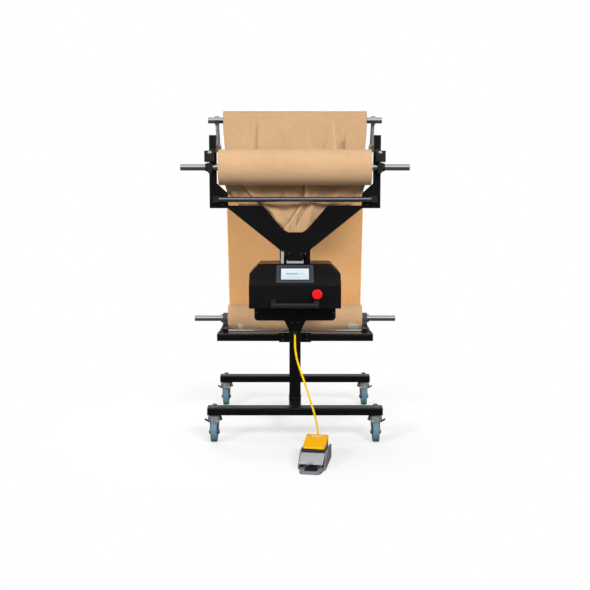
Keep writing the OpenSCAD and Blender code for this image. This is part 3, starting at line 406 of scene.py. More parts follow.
tread = castor_rubber()
hub_grey = moulded("castor_hub", (0.1, 0.11, 0.12), 0.45)
dark_plastic = moulded("dark_plastic", (0.013, 0.013, 0.014), 0.46)
for end, axle_y in AXLE_Y.items():
    for hand in ("left", "right"):
        wheel = f"wheel_{end}_{hand}"
        dress(hub_grey, wheel)
        dress_some(wheel, tread, lambda c: math.hypot(c.y - axle_y, c.z - AXLE_Z) > TREAD_FROM)
        dress(dark_plastic, f"brake_{end}_{hand}")
        dress(fork_zinc, f"fork_{end}_{hand}")

# %% [markdown]
# The plain dark pieces: end caps, handle, screen bezel and collar are moulded plastic. The bearing
# blocks and latches are small castings under black paint, rougher than the sheet metal. Bolts have
# a black oxide skin that shines at the rims. A few CAD pieces have two finishes: the arms of the
# top rod, in a pale grey that is a painted reflection of a bright floor, the clamps of the guide
# bar, the bright knobs of the latches and the spindle's journals.

# %% Dark plastic, castings and bolts
def painted_casting(name, tone):
    f = Finish(name)
    rub = f.edges(0.0012)
    sand = f.speckle(0.0022, detail=4)
    cloud = f.speckle(0.03, detail=4)
    chips = rub * f.speckle(0.004, detail=4).ease(0.45, 0.68)
    body = f.blend(cloud, shade(tone, 0.75), shade(tone, 1.35))
    colour = f.blend(chips * 0.7, body, (0.2, 0.2, 0.21))
    return f.coat(base_color=colour, roughness=0.5 + (sand - 0.5) * 0.25 - chips * 0.15,
                  metallic=chips * 0.6, normal=f.relief(sand, 0.0004))


ARM_IN, ARM_OUT, ARM_TOP = 0.318, 0.342, 1.277
CLAMP_FROM = 0.3015
LATCH_FACE = -0.2848
JOURNAL_IN, JOURNAL_OUT, SPINDLE_R = 0.323, 0.3545, 0.0129
casting = painted_casting("dark_casting", (0.009, 0.009, 0.0095))
# Pale grey paint on the arms of the top rod: a painted reflection of a bright floor.
arm_painted_reflection = painted_casting("arm_painted_reflection", (0.36, 0.38, 0.4))
bezel_grey = moulded("bezel_grey", (0.046, 0.05, 0.064), 0.42, wear=(0.1, 0.105, 0.12))
bolt_black = turned_bar("black_oxide", (0.09, 0.09, 0.095), 0.3, 0.42)
dress(dark_plastic, "end_caps", "cover_handle", "estop_collar", "power_inlet", "control_box",
      "cable_gland")
dress(bezel_grey, "screen_bezel")
dress(casting, "upper_bearings", "latch_left", "latch_right", "drive_motor")
dress(painted_casting("bearing_grey", (0.06, 0.064, 0.07)), "lower_bearings")
dress(bolt_black, "frame_bolts")
dress_some("top_arms", arm_painted_reflection, lambda c: ARM_IN < abs(c.x) < ARM_OUT and c.z < ARM_TOP)
dress_some("front_guide_bar", casting, lambda c: abs(c.x) > CLAMP_FROM)
for name in ("latch_left", "latch_right"):
    dress_some(name, bright_bar, lambda c: c.y < LATCH_FACE)
dress_some("upper_spindle", casting, lambda c: JOURNAL_IN < abs(c.x) < JOURNAL_OUT
           and math.hypot(c.y - UPPER[0], c.z - UPPER[1]) > SPINDLE_R)

# %% [markdown]
# The touch panel shows a pale start page. Its picture is left generic: a soft gradient with one
# plain bar and a row of dots. The page is drawn by the shader from the place on the panel, across
# in X and up in Z, and it glows, so it reads as a lit screen under any light.

# %% Touch panel
PANEL_MIDDLE = (0.0, 0.6645)
PANEL_HALF = (0.061, 0.0239)


def touch_page():
    f = Finish("screen_glass")
    x, _, z = f.along()
    across = (x - PANEL_MIDDLE[0]) / PANEL_HALF[0]
    up = (z - PANEL_MIDDLE[1]) / PANEL_HALF[1]

    def patch(left, right, low, high, soft=0.012):
        inside_x = (across - left).ease(0, soft) * (right - across).ease(0, soft)
        return inside_x * (up - low).ease(0, soft * 2) * (high - up).ease(0, soft * 2)

    page = f.blend(up.ease(-1, 1), (0.74, 0.86, 0.93), (0.92, 0.965, 0.985))
    marks = f.blend(patch(-0.62, 0.62, -0.04, 0.3), page, (0.68, 0.83, 0.92))
    marks = f.blend(patch(-0.6, 0.16, 0.0, 0.26), marks, (0.3, 0.6, 0.8))
    for step in range(5):
        left = -0.36 + 0.16 * step
        marks = f.blend(patch(left, left + 0.08, -0.5, -0.3), marks, (0.5, 0.72, 0.84))
    glow = f.blend(patch(-0.91, 0.91, -0.74, 0.93), (0.012, 0.016, 0.02), marks)
    smear = f.speckle(0.02, detail=4)
    return f.coat(base_color=(0.02, 0.025, 0.03, 1), roughness=0.08 + smear * 0.12,
                  emission_color=glow, emission_strength=0.92, coat_weight=0.6, coat_roughness=0.06)


dress(touch_page(), "screen_panel")

# %% [markdown]
# Colour on the machine means "touch this": the red stop button is a glossy moulding, the foot switch
# has an amber painted cover, and its pedal and base are grey painted castings. The pedal has fine
# ribs across it so that a shoe doesn't slip.

# %% Red button, amber cover and grey castings
FOOT = (0.0695, -0.6605)
FOOT_TURN = math.radians(-9.3)


def gloss_red():
    f = Finish("red_button")
    f.edges(0.001)
    haze = f.speckle(0.012, detail=4)
    colour = f.blend(haze, (0.87, 0.004, 0.007), (0.92, 0.007, 0.011))
    return f.coat(base_color=colour, roughness=0.22 + haze * 0.14,
                  normal=f.relief(f.speckle(0.002), 0.00004), coat_weight=0.25, coat_roughness=0.15)


def amber_paint():
    f = Finish("amber_cover")
    rub = f.edges(0.0012)
    cloud = f.speckle(0.03, detail=4)
    peel = f.speckle(0.0018, detail=2)
    chips = rub * f.speckle(0.004, detail=4).ease(0.5, 0.68)
    body = f.blend(cloud, (0.92, 0.43, 0.002), (0.97, 0.52, 0.003))
    colour = f.blend(chips * 0.7, body, (0.95, 0.62, 0.12))
    return f.coat(base_color=colour, roughness=0.34 + cloud * 0.14, normal=f.relief(peel, 0.00012),
                  specular_ior_level=0.3)


def grey_paint(name, tone, ribs):
    f = Finish(name)
    rub = f.edges(0.0014)
    cloud = f.speckle(0.03, detail=4)
    grit = f.speckle(0.0016, detail=3)
    dirt = f.speckle(0.012, detail=5).ease(0.55, 0.8)
    body = f.blend(cloud, shade(tone, 0.88), shade(tone, 1.08))
    colour = f.blend(dirt * 0.35, f.blend(rub * 0.4, body, (0.55, 0.56, 0.57)), (0.12, 0.12, 0.12))
    height, depth = grit * 0.4, 0.0002
    if ribs:
        x, y, _ = f.along()
        forward = (x - FOOT[0]) * -math.sin(FOOT_TURN) + (y - FOOT[1]) * math.cos(FOOT_TURN)
        wave = (forward * (2 * math.pi / ribs)).sine()
        # The troughs of the ribs are painted darker: painted shade.
        colour = f.blend((0 - wave).ease(0.2, 0.9) * 0.3, colour, shade(tone, 0.55))
        height, depth = grit * 0.15 + wave.ease(-0.6, 0.6), 0.0006
    return f.coat(base_color=colour, roughness=0.5 + dirt * 0.2, normal=f.relief(height, depth))


dress(gloss_red(), "estop_button")
dress(amber_paint(), "foot_housing")
dress(grey_paint("grey_base", (0.25, 0.26, 0.275), 0), "foot_base")
dress(grey_paint("grey_pedal", (0.45, 0.465, 0.485), 0.006), "foot_pedal")

# %% [markdown]
# The cable's jacket is soft yellow plastic, slightly glossy, with faint marks from lying on floors.

# %% Yellow jacket
def jacket():
    f = Finish("yellow_jacket")
    marks = f.speckle(0.012, detail=5).ease(0.56, 0.76)
    haze = f.speckle(0.05)
    body = f.blend(haze, (0.9, 0.54, 0.003), (0.95, 0.62, 0.004))
    colour = f.blend(marks * 0.3, body, (0.5, 0.3, 0.02))
    return f.coat(base_color=colour, roughness=0.4 + marks * 0.2,
                  normal=f.relief(f.speckle(0.003), 0.0001))


cable.data.materials.append(jacket())
print("cable dressed")

# %% [markdown]
# Kraft paper is made of long brown fibres. Close up it shows pale and dark fibres and flecks, and
# faint lines along the web from the paper machine; further off it only varies slowly in tone. The
# same paper wound on a roll shows its cut edges on the ends, ring upon ring, around a grey brown
# cardboard core.

# %% Kraft paper
KRAFT = (0.64, 0.405, 0.225)
# The sheets are the same kraft as the rolls, painted darker: painted shade.
SHADED_SHEET = (0.55, 0.345, 0.19)


def kraft_tones(f, tone):
    """The colour and the height of kraft paper on any surface."""
    cloud = f.speckle(0.16, detail=5)
    lines = f.speckle(0.004, detail=3, stretch=(1, 0.03, 0.03))
    fibre_a = f.speckle(0.0011, detail=3, stretch=(0.16, 1, 1))
    fibre_b = f.speckle(0.0011, detail=3, stretch=(1, 1, 0.2))
    flecks = f.speckle(0.0016, detail=2, stretch=(0.5, 1, 1))
    mottle = f.speckle(0.024, detail=5)
    base = f.blend(cloud * 0.5 + mottle * 0.5, shade(tone, 0.8), shade(tone, 1.18))
    lined = f.blend(lines.ease(0.42, 0.7) * 0.07, base, shade(tone, 0.72))
    pale = f.blend(fibre_a.ease(0.55, 0.75) * 0.4, lined, shade(tone, 1.16))
    dark = f.blend(flecks.ease(0.66, 0.76) * 0.5, pale, (0.28, 0.15, 0.07))
    return dark, fibre_a * 0.5 + fibre_b * 0.5, cloud


def kraft_sheet(name):
    """Kraft paper, with painted shade in the valleys of its creases and painted highlight on their
    ridges, and painted warmer light behind the machine, where light comes through it.
    """
    f = Finish(name)
    plain, height, cloud = kraft_tones(f, SHADED_SHEET)
    fold = f.add("Attribute", {"attribute_name": "crease"}, None, "Fac")
    # Painted shade darkens the valleys of the creases, and a painted highlight lightens their ridges.
    valley = f.blend(fold.ease(0.1, 1.0) * 0.7, plain, shade(SHADED_SHEET, 0.42))
    crease_shade_and_highlight = f.blend((0 - fold).ease(0.15, 1.0) * 0.6, valley, shade(SHADED_SHEET, 1.3))
    # Behind the machine the colour turns warmer and brighter: painted light that comes through the
    # paper.
    _, y, _ = f.along()
    grain = f.speckle(0.007, detail=5)
    through = f.blend((cloud * 0.4 + grain * 0.6).ease(0.3, 0.7), (0.75, 0.395, 0.153),
                      (0.86, 0.492, 0.208))
    colour = f.blend(y.ease(0.03, 0.06) * 0.85, crease_shade_and_highlight, through)
    return f.coat(base_color=colour, roughness=0.7 + cloud * 0.16, normal=f.relief(height, 0.00016),
                  specular_ior_level=0.3, sheen_weight=0.08)


ROLL_HALF = PAPER_WIDE / 2
CORE_OUT = 0.042


def kraft_roll(name, middle_y, middle_z):
    f = Finish(name)
    f.edges(0.0015)
    colour, height, cloud = kraft_tones(f, KRAFT)
    x, y, z = f.along()
    radius = ((y - middle_y) ** 2 + (z - middle_z) ** 2) ** 0.5
    ring_place = f.add("CombineXYZ", None, {0: radius * 900, 1: abs(x) * 20})
    rings = f.add("TexNoise", None, {"Vector": ring_place, "Scale": 1, "Detail": 4, "Roughness": 0.7})
    ply_ends = f.blend(rings, (0.36, 0.21, 0.105), (0.66, 0.43, 0.25))
    cardboard = f.blend(cloud, (0.3, 0.21, 0.13), (0.4, 0.29, 0.19))
    on_end = abs(x) > ROLL_HALF - 0.0004
    end_colour = f.blend(radius < CORE_OUT, ply_ends, cardboard)
    full = f.blend(on_end, f.blend(radius < CORE_OUT - 0.001, colour, cardboard), end_colour)
    return f.coat(base_color=full, roughness=0.68 + cloud * 0.16 + on_end * 0.1,
                  normal=f.relief(height * (1 - on_end) + rings * on_end * 2, 0.00018),
                  specular_ior_level=0.3, sheen_weight=0.08)


dress(kraft_roll("kraft_upper_roll", *UPPER), "upper_roll")
dress(kraft_roll("kraft_lower_roll", *LOWER), "lower_roll")
paper = kraft_sheet("kraft_sheet")

# %% [markdown]
# The rear sheet leaves the lower roll, climbs behind the machine, turns over the top roller and comes
# down the front side, where it is pulled together towards the throat of the head. The line it follows
# in Y and Z is worked out from the rolls: tangents between circles, an arc over the roller, and a last
# straight drop. It is one piece of paper, so it is one mesh.

# %% Path of the rear sheet
GAP = 0.0006
LOWER_R, ROLLER_R, UPPER_R = 0.062 + GAP, 0.038 + GAP, 0.07 + GAP
THROAT_Z, PAPER_END = 0.8, 0.737
REAR_WRAP, FRONT_WRAP = 1.1, 0.9


def turned(angle):
    return np.array((math.cos(angle), math.sin(angle)))


def arc(centre, radius, start, finish, steps):
    return [centre + radius * turned(a) for a in np.linspace(start, finish, steps)]


def touch_angle(run, radius, side):
    """The angle at which a straight web leaves a circle for a point, or for a smaller circle."""
    return math.atan2(run[1], run[0]) + side * math.acos(radius / np.hypot(*run))


def even_line(points, step, ends=1):
    """The same line with points about a step apart, and how far along it each one is."""
    points = np.array(points)
    reach = np.r_[0, np.cumsum(np.linalg.norm(np.diff(points, axis=0), axis=1))]
    where = np.linspace(0, reach[-1], int(reach[-1] / step) + ends)
    return np.stack([np.interp(where, reach, column) for column in points.T], 1), where


STEP = 0.004
rear_drop = [np.array((-0.2, z)) for z in (THROAT_Z, PAPER_END)]
climb = touch_angle(ROLLER - LOWER, LOWER_R - ROLLER_R, -1)
over = touch_angle(rear_drop[0] - ROLLER, ROLLER_R, -1) + 2 * math.pi
rear_path, rear_reach = even_line(
    arc(LOWER, LOWER_R, climb - REAR_WRAP, climb, 30) + arc(ROLLER, ROLLER_R, climb, over, 60)
    + rear_drop, STEP)
print("rear sheet", round(float(rear_reach[-1]), 3), "m long in", len(rear_path), "rows")

# %% [markdown]
# A sheet that is narrowed without being cut has to fold. Near the rollers it only bows, then long
# creases open and run together into the throat. Each crease is a ridge whose place is fixed across
# the sheet, so it leans inwards as the sheet narrows; smaller creases cross between them. The folds
# stay as deep as the space between the plates allows.

# %% Folds of a gathered sheet
ACROSS = 181
SHARE = np.linspace(-1, 1, ACROSS)
SPREAD_Z, SPREAD_HALF = 0.985, 0.272
MOUTH_HALF, THROAT_HALF = 0.052, 0.05


def ease(t):
    t = np.clip(t, 0, 1)
    return t * t * (3 - 2 * t)


def half_width(z, wide_z):
    """Half the width of a sheet that is full at wide_z and 0.1 m wide in the throat."""
    spread = np.clip((z - SPREAD_Z) / (wide_z - SPREAD_Z), 0, 1)
    upper = SPREAD_HALF + (ROLL_HALF - SPREAD_HALF) * spread
    gather = np.clip((z - THROAT_Z) / (SPREAD_Z - THROAT_Z), 0, 1)
    lower = MOUTH_HALF + (SPREAD_HALF - MOUTH_HALF) * gather ** 0.8
    return np.where(z > SPREAD_Z, upper, np.where(z > THROAT_Z, lower, THROAT_HALF))


def held_depth(z, mouth, throat):
    """The share of their depth that folds keep at the mouth of the throat and inside it."""
    near = np.clip((z - THROAT_Z) / 0.06, 0, 1)
    return np.where(z > THROAT_Z, mouth + (1 - mouth) * near, throat)


def creased(heights):
    """Sharp folds through evenly spread heights across the sheet, each slightly rounded."""
    fine = np.linspace(0, 1, 1401)
    zigzag = np.interp(fine, np.linspace(0, 1, len(heights)), heights)
    window = np.hanning(35)
    soft = np.convolve(np.pad(zigzag, 17, mode="edge"), window / window.sum(), mode="valid")
    return np.interp((SHARE + 1) / 2, fine, soft)


def ridge(t):
    """A crease of height 1 at t = 0 that fades out on both sides."""
    return np.exp(-np.abs(t) ** 1.25 * 2.2)


def crumple(x, reach, seed):
    """Small creases of crumpled paper, from ridged noise."""
    total = np.zeros_like(x)
    for size, height in ((0.11, 1.0), (0.055, 0.5), (0.027, 0.25)):
        values = [noise.noise(Vector((a / size, b / (size * 1.7), seed)))
                  for row, b in zip(x, reach) for a in row]
        total += height * (0.5 - np.abs(np.array(values)).reshape(x.shape) * 1.6)
    return total


print("gathered from", PAPER_WIDE, "to", 2 * THROAT_HALF, "m")

# %% [markdown]
# Two kinds of fold are pressed into the paper: a dart opens downwards from a point, and a pleat lies
# along a slanting line. How sharp a fold is at each point is kept with the mesh, and the shader of the
# paper paints shade into the valleys and a highlight onto the ridges with it.

# %% Pressed folds and the mesh
def dart(x, z, top, low, half, deep):
    """A pressed fold with flat sides: it opens from a point downwards, then dies away."""
    open_by = np.clip((top[1] - z) / (top[1] - low[1]), 0, 1)[:, None]
    centre = top[0] + (low[0] - top[0]) * open_by
    tent = np.clip(1 - np.abs(x - centre) / (half * open_by + 0.004), 0, 1)
    return deep * open_by * tent * ease((z - low[1] + 0.1) / 0.1)[:, None]


def pleat(x, z, line, left, right, deep):
    """A fold along a slanting line: it rises steeply from the left and falls slowly to the right."""
    places, heights = np.array(line[::-1]).T
    aside = x - np.interp(z, heights, places)[:, None]
    tent = np.clip(np.where(aside < 0, 1 + aside / left, 1 - aside / right), 0, 1)
    fade = ease((heights[-1] - z) / 0.03) * ease((z - heights[0]) / 0.03)
    return deep * fade[:, None] * tent


def crease_shading(lift):
    """How far each point lies below its surroundings, for painted shade in a sharp valley (1) and
    painted highlight on a sharp ridge (-1).
    """
    window = np.hanning(11)
    window /= window.sum()
    smooth = lift
    for axis in (0, 1):
        padded = np.pad(smooth, [(5, 5) if k == axis else (0, 0) for k in (0, 1)], mode="edge")
        smooth = np.apply_along_axis(np.convolve, axis, padded, window, mode="valid")
    return np.clip((smooth - lift) / 0.0022, -1, 1)


def grid_mesh(name, points):
    """A mesh of quads over a grid of points."""
    rows, columns, _ = points.shape
    index = np.arange(rows * columns).reshape(rows, columns)
    corners = index[:-1, :-1], index[:-1, 1:], index[1:, 1:], index[1:, :-1]
    return new_mesh(name, points.reshape(-1, 3).tolist(), np.stack(corners, -1).reshape(-1, 4).tolist())


def thicken(piece, thickness):
    """Makes a closed sheet of a surface, half of it to each side."""
    thick = piece.modifiers.new("thickness", "SOLIDIFY")
    thick.thickness = thickness
    thick.offset = 0


def paper_sheet(name, path, half, lift, kept=slice(None)):
    """A sheet along a path, lifted off it along its normal, with its painted crease shading."""
    ahead = np.gradient(path, axis=0)
    ahead /= np.linalg.norm(ahead, axis=1)[:, None]
    y = path[:, :1] + ahead[:, 1:] * lift
    z = path[:, 1:] - ahead[:, :1] * lift
    data = grid_mesh(name, np.stack([half[:, None] * SHARE, y, z], -1)[kept])
    data.polygons.foreach_set("use_smooth", [True] * len(data.polygons))
    # Each point keeps its share of painted crease shade, and of painted highlight where it is negative.
    marks = data.attributes.new("crease", "FLOAT", "POINT")
    marks.data.foreach_set("value", crease_shading(lift)[kept].ravel())
    data.materials.append(paper)
    piece = link(name, data)
    thicken(piece, PAPER_THICK)
    return piece


PAPER_THICK = 0.0004
print("a sheet has", ACROSS, "points across")

# %% [markdown]
# The rear sheet: flat and tight behind the machine, with a slow bow of a millimetre or two, then
# softly buckled below the top roller, where the photograph shows a few upright creases, then
# gathered. Its smooth climb keeps only every fourth row of the grid.

# %% Rear sheet
FOLD_REAR = (0, -0.6, 0.7, -0.8, 0.5, -1, 0.8, -0.5, 0.9, -0.7, 1, -0.6, 0.8, -0.5, 0)
FOLD_DEEP = 0.013
WEB_LOW, WEB_TOP = 0.5, 1.26
BOWS = ((-0.15, 0.03, 0.12, -0.004), (0.12, -0.05, 0.1, 0.003), (-0.78, 0.05, 0.1, -0.003))
DARTS = (
    ((0.159, 1.302), (0.166, 1.165), 0.042, 0.022), ((0.06, 1.265), (0.07, 1.165), 0.055, 0.014),
    ((-0.158, 1.315), (-0.16, 1.165), 0.016, -0.009), ((0.212, 1.24), (0.203, 1.165), 0.022, -0.011),
    ((-0.235, 1.3), (-0.22, 1.15), 0.045, 0.009), ((-0.06, 1.29), (-0.05, 1.15), 0.06, -0.008),
)
z_rows = rear_path[:, 1]
rows = np.arange(len(z_rows))
front_side = rows > np.argmax(z_rows)
climbing = ~front_side & (z_rows > WEB_LOW) & (z_rows < WEB_TOP)
rear_half = np.where(front_side, half_width(z_rows, 1.25), ROLL_HALF)
grid_x = rear_half[:, None] * SHARE
fold_rows = np.where(front_side, ease((1.05 - z_rows) / 0.09), 0) * FOLD_DEEP
fold_rows *= held_depth(z_rows, 0.55, 0.5)
lift = fold_rows[:, None] * creased(FOLD_REAR)
bow_rows = np.where(front_side, ease((1.3 - z_rows) / 0.12) * (1 - ease((1.03 - z_rows) / 0.08)), 0)
for place, lean, wide, deep in BOWS:
    centre = place + lean * (1.29 - z_rows) / 0.25
    lift += bow_rows[:, None] * deep * ridge((SHARE - centre[:, None]) / wide)
for top, low, half, deep in DARTS:
    lift += np.where(front_side[:, None], dart(grid_x, z_rows, top, low, half, deep), 0)
crumpled = 0.0004 + 0.0022 * np.where(front_side, ease((1.27 - z_rows) / 0.2), 0)
lift += crumple(grid_x, rear_reach, 3.7) * crumpled[:, None]
slow = np.array([[noise.noise(Vector((a * 3.0, s * 1.2, 1.3))) for a in SHARE * ROLL_HALF]
                 for s in rear_reach])
free_rows = np.where(climbing, ease((z_rows - WEB_LOW) / 0.1) * ease((WEB_TOP - z_rows) / 0.1), 0)
lift += free_rows[:, None] * slow * 0.003
lift *= (climbing | front_side)[:, None]
kept = ~climbing | (rows % 4 == 0)
rear_sheet = paper_sheet("kraft_rear_sheet", rear_path, rear_half, lift, kept)
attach(rear_sheet, "stand")
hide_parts("paper_web", "paper_gather")
print("rear sheet has", len(rear_sheet.data.polygons), "faces")

# %% [markdown]
# The front sheet runs off the back of the upper roll and straight down into the same throat. This is
# the paper seen in the notch of the black Y plate, so its creases are the most visible on the whole
# machine. The photograph shows three pleats there and a faint fourth, each steep on its left and slow
# on its right. They are laid along the lines where they are seen; finer folds only gather what is
# hidden below.

# %% Front sheet
FOLD_FRONT = (0, 0.7, -0.6, 1, -0.8, 0.5, -1, 0.9, -0.5, 0.8, -0.7, 0.6, 0)
FRONT_DEEP = 0.012
PLATE_BACK = -0.2362
PLEATS = (
    (((0.047, 1.04), (0.047, 0.98), (0.034, 0.944), (-0.034, 0.845), (-0.05, 0.8)),
     0.012, 0.055, 0.022),
    (((0.08, 0.96), (0.062, 0.916), (0.025, 0.845), (0.01, 0.8)), 0.024, 0.06, 0.026),
    (((-0.225, 1.045), (-0.169, 0.974), (-0.126, 0.94), (-0.091, 0.909), (-0.06, 0.84)),
     0.012, 0.05, 0.018),
    (((0.19, 1.02), (0.165, 0.97), (0.13, 0.92), (0.09, 0.85)), 0.02, 0.05, 0.01),
)
front_drop = [np.array((-0.224, z)) for z in (THROAT_Z, PAPER_END)]
leave = touch_angle(front_drop[0] - UPPER, UPPER_R, 1)
front_path, front_reach = even_line(
    arc(UPPER, UPPER_R, leave + FRONT_WRAP, leave, 24) + front_drop, STEP / 2)
z_rows = front_path[:, 1]
free = front_reach > FRONT_WRAP * UPPER_R
front_half = np.where(free, half_width(z_rows, 1.075), ROLL_HALF)
grid_x = front_half[:, None] * SHARE
fold_rows = np.where(free, ease((0.9 - z_rows) / 0.09) + 0.25 * ease((1.05 - z_rows) / 0.08), 0)
fold_rows *= FRONT_DEEP * held_depth(z_rows, 0.45, 0.3)
lift = -fold_rows[:, None] * creased(FOLD_FRONT)
for line, left, right, deep in PLEATS:
    lift += np.where(free[:, None], pleat(grid_x, z_rows, line, left, right, deep), 0)
ripple_rows = ease((1.0 - z_rows) / 0.02) * ease((z_rows - 0.95) / 0.02)
lift += 0.0025 * ripple_rows[:, None] * np.sin(grid_x / 0.0075 + 2 * np.sin(grid_x / 0.05))
crumpled = 0.0048 * np.where(free, ease((1.06 - z_rows) / 0.06), 0)
crumpled *= np.where(z_rows > THROAT_Z, 1, 0.4)
lift += crumple(grid_x, front_reach, 9.1) * crumpled[:, None]
room_ahead = np.where(z_rows < 0.96, front_path[:, 0] - PLATE_BACK, 1)
lift = np.minimum(lift, room_ahead[:, None])
front_sheet = paper_sheet("kraft_front_sheet", front_path, front_half, lift)
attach(front_sheet, "stand")
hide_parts("paper_funnel")
print("front sheet has", len(front_sheet.data.polygons), "faces")

# %% [markdown]
# Small things finish the machine: welds, screws, contacts, tape and the trim of the foot switch. None
# of them is a plain block: outlines are rounded, screws are turned from a profile with a socket in it,
# and a weld is a row of ripples.

# %% Tools for small pieces
def link_piece(name, data, material, body="stand"):
    data.materials.append(material)
    piece = link(name, data)
    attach(piece, body)
    return piece


def round_outline(half_u, half_v, radius):
    """Corners of a rounded rectangle, anticlockwise."""
    points = []
    for u, v, start in ((1, 1, 0), (-1, 1, 90), (-1, -1, 180), (1, -1, 270)):
        for a in np.radians(start + np.linspace(0, 90, 6)):
            points.append((u * (half_u - radius) + radius * math.cos(a),
                           v * (half_v - radius) + radius * math.sin(a)))
    return points


def slab(name, low, high, material, slot, round_edge):
    """A plate between two rings of points, with its edges rounded."""
    count = len(low)
    faces = [tuple(range(count))[::-1], tuple(range(count, 2 * count))]
    faces += [(i, (i + 1) % count, count + (i + 1) % count, count + i) for i in range(count)]
    piece = link_piece(name, new_mesh(name, [*low, *high], faces), material)
    edge = piece.modifiers.new("rounded_edge", "BEVEL")
    edge.width = round_edge
    edge.segments = 3
    edge.limit_method = "ANGLE"


SCREW = ((0, -0.42), (0.42, -0.42), (0.46, 0), (0.72, -0.02), (0.93, -0.16), (1, -0.42), (1, -0.72))


def screws(name, places, radius, material, sides=20):
    """Round screw heads with a socket, each from (place, direction out of the surface)."""
    points, faces = [], []
    for place, out in places:
        turn = Vector(out).to_track_quat("Z", "Y")
        base = len(points)
        for r, h in SCREW:
            for a in np.linspace(0, 2 * math.pi, sides, endpoint=False):
                spot = Vector((r * math.cos(a), r * math.sin(a), h + 0.7)) * radius
                points.append(Vector(place) + turn @ spot)
        for ring in range(len(SCREW) - 1):
            for i in range(sides):
                a, b = base + ring * sides + i, base + ring * sides + (i + 1) % sides
                faces.append((a, a + sides, b + sides, b))
    link_piece(name, new_mesh(name, points, faces), material)


print("a screw is turned from", len(SCREW), "points")

# %% [markdown]
# Welds run round the foot of the column, round the rails and the lower arms, beside the ears of the Y
# plate and where the spine meets the beams.

# %% Weld beads
WELD_R = 0.0021


def ripples(corners):
    """A line through the corners, and a radius that swells and shrinks along it."""
    line, where = even_line(corners, 0.0008, ends=0)
    return line, WELD_R * (0.72 + 0.35 * np.abs(np.sin(where / 0.0011)))


def square_loop(low, high):
    """The corners of a level or upright rectangle, from two opposite ones, and the first again."""
    return [low, (high[0], *low[1:]), high, (low[0], *high[1:]), low]


beads = [square_loop((-0.0235, -0.18, 0.1412), (0.0235, -0.133, 0.1412))]
for side in (-1, 1):
    beads.append(square_loop((side * 0.319, -0.2148, 1.161), (side * 0.341, -0.2148, 1.183)))
    beads.append(square_loop((side * 0.303, -0.0668, 0.3692), (side * 0.324, -0.0668, 0.4)))
    beads.append([(side * 0.3122, -0.2449, 0.944), (side * 0.3122, -0.2449, 1.02)])
    for end in (-1, 1):
        beads.append([(side * 0.0252, end * 0.2848, 0.107), (side * 0.0252, end * 0.2848, 0.1335)])
weld_data = round_curve("weld_beads", [ripples(corners) for corners in beads], 2)
link_piece("weld_beads", weld_data, frame_black)
print(len(beads), "weld beads")

# %% [markdown]
# Screws close the sides and the back of the head. The power inlet has two screws and three contacts.

# %% Screws and contacts
PINS = (("inlet_pin_left", 0.1125, 0.5685), ("inlet_pin_right", 0.1275, 0.5685),
        ("inlet_pin_top", 0.12, 0.5755))
side_screws = [((side * 0.1815, y, z), (side, 0, 0))
               for side in (-1, 1) for y in (-0.085, -0.225) for z in (0.556, 0.642)]
back_screws = [((x, -0.06, z), (0, 1, 0)) for x in (-0.165, 0.165) for z in (0.551, 0.64)]
inlet_screws = [((0.12 + x, -0.057, 0.571), (0, 1, 0)) for x in (-0.0272, 0.0272)]
screws("head_screws", side_screws + back_screws, 0.0038, bolt_black)
screws("inlet_screws", inlet_screws, 0.0021, bolt_black)
for name, x, z in PINS:
    ring = [(x + u, z + v) for u, v in round_outline(0.0011, 0.0022, 0.0006)]
    slab(name, [(u, -0.062, v) for u, v in ring], [(u, -0.0762, v) for u, v in ring], bright_bar,
         "zinc_steel", 0.0002)
print(len(side_screws + back_screws + inlet_screws), "screws and", len(PINS), "contacts")

# %% [markdown]
# Two strips of pale tape hold the outer end of the lower roll. They turn with it, and are thin enough
# to pass under the web where it leaves the roll.

# %% Tape on the lower roll
def paper_tape():
    f = Finish("paper_tape")
    cloud = f.speckle(0.012, detail=4)
    crepe = f.speckle(0.0012, detail=2, stretch=(0.2, 1, 1))
    colour = f.blend(cloud, (0.66, 0.54, 0.42), (0.82, 0.74, 0.64))
    return f.coat(base_color=colour, roughness=0.4 + cloud * 0.15, normal=f.relief(crepe, 0.0001))


tape = paper_tape()
TAPE_THICK = 0.0001
TAPES = (("tape_left", -0.255, -0.232, 195, 226), ("tape_right", 0.238, 0.285, 192, 229))
TAPE_R = LOWER_R - GAP + TAPE_THICK
s, t = np.meshgrid(np.linspace(0, 1, 9), np.linspace(0, 1, 25))
ragged = 0.008 * np.sin(37 * s + 5 * t) * ((t == 0) | (t == 1))
for name, x0, x1, start, finish in TAPES:
    angle = np.radians(start + (finish - start) * t + 5 * s) + ragged
    y, z = LOWER[0] + TAPE_R * np.cos(angle), LOWER[1] + TAPE_R * np.sin(angle)
    data = grid_mesh(name, np.stack([x0 + (x1 - x0) * s, y, z], -1))
    thicken(link_piece(name, data, tape, "lower_reel"), TAPE_THICK)
print(len(TAPES), "strips of tape")

# %% [markdown]
# The foot switch has its own frame, turned a little against the machine. Its sloped cover carries an
# empty name plate and four screws; a rubber skirt closes the gap in front of it, and a ribbed rubber
# pad lies under the nose of the pedal.

# %% Foot switch trim
COVER_LOW, COVER_RISE = 0.07, 0.02
COVER_FRONT, COVER_DEEP = -0.012, 0.114
SKIRT_HALF = 0.0425
SKIRT = ((0.008, 0.0592), (-0.006, 0.0595), (-0.012, 0.0578), (-0.02, 0.0555), (-0.025, 0.054),
         (-0.025, 0.0563), (-0.02, 0.0602), (-0.012, 0.0634), (-0.006, 0.0648), (0.008, 0.0672))


def on_foot(u, v, z):
    """A point of the foot switch's frame in the machine's."""
    c, s = math.cos(FOOT_TURN), math.sin(FOOT_TURN)
    return (FOOT[0] + c * u - s * v, FOOT[1] + s * u + c * v, z)


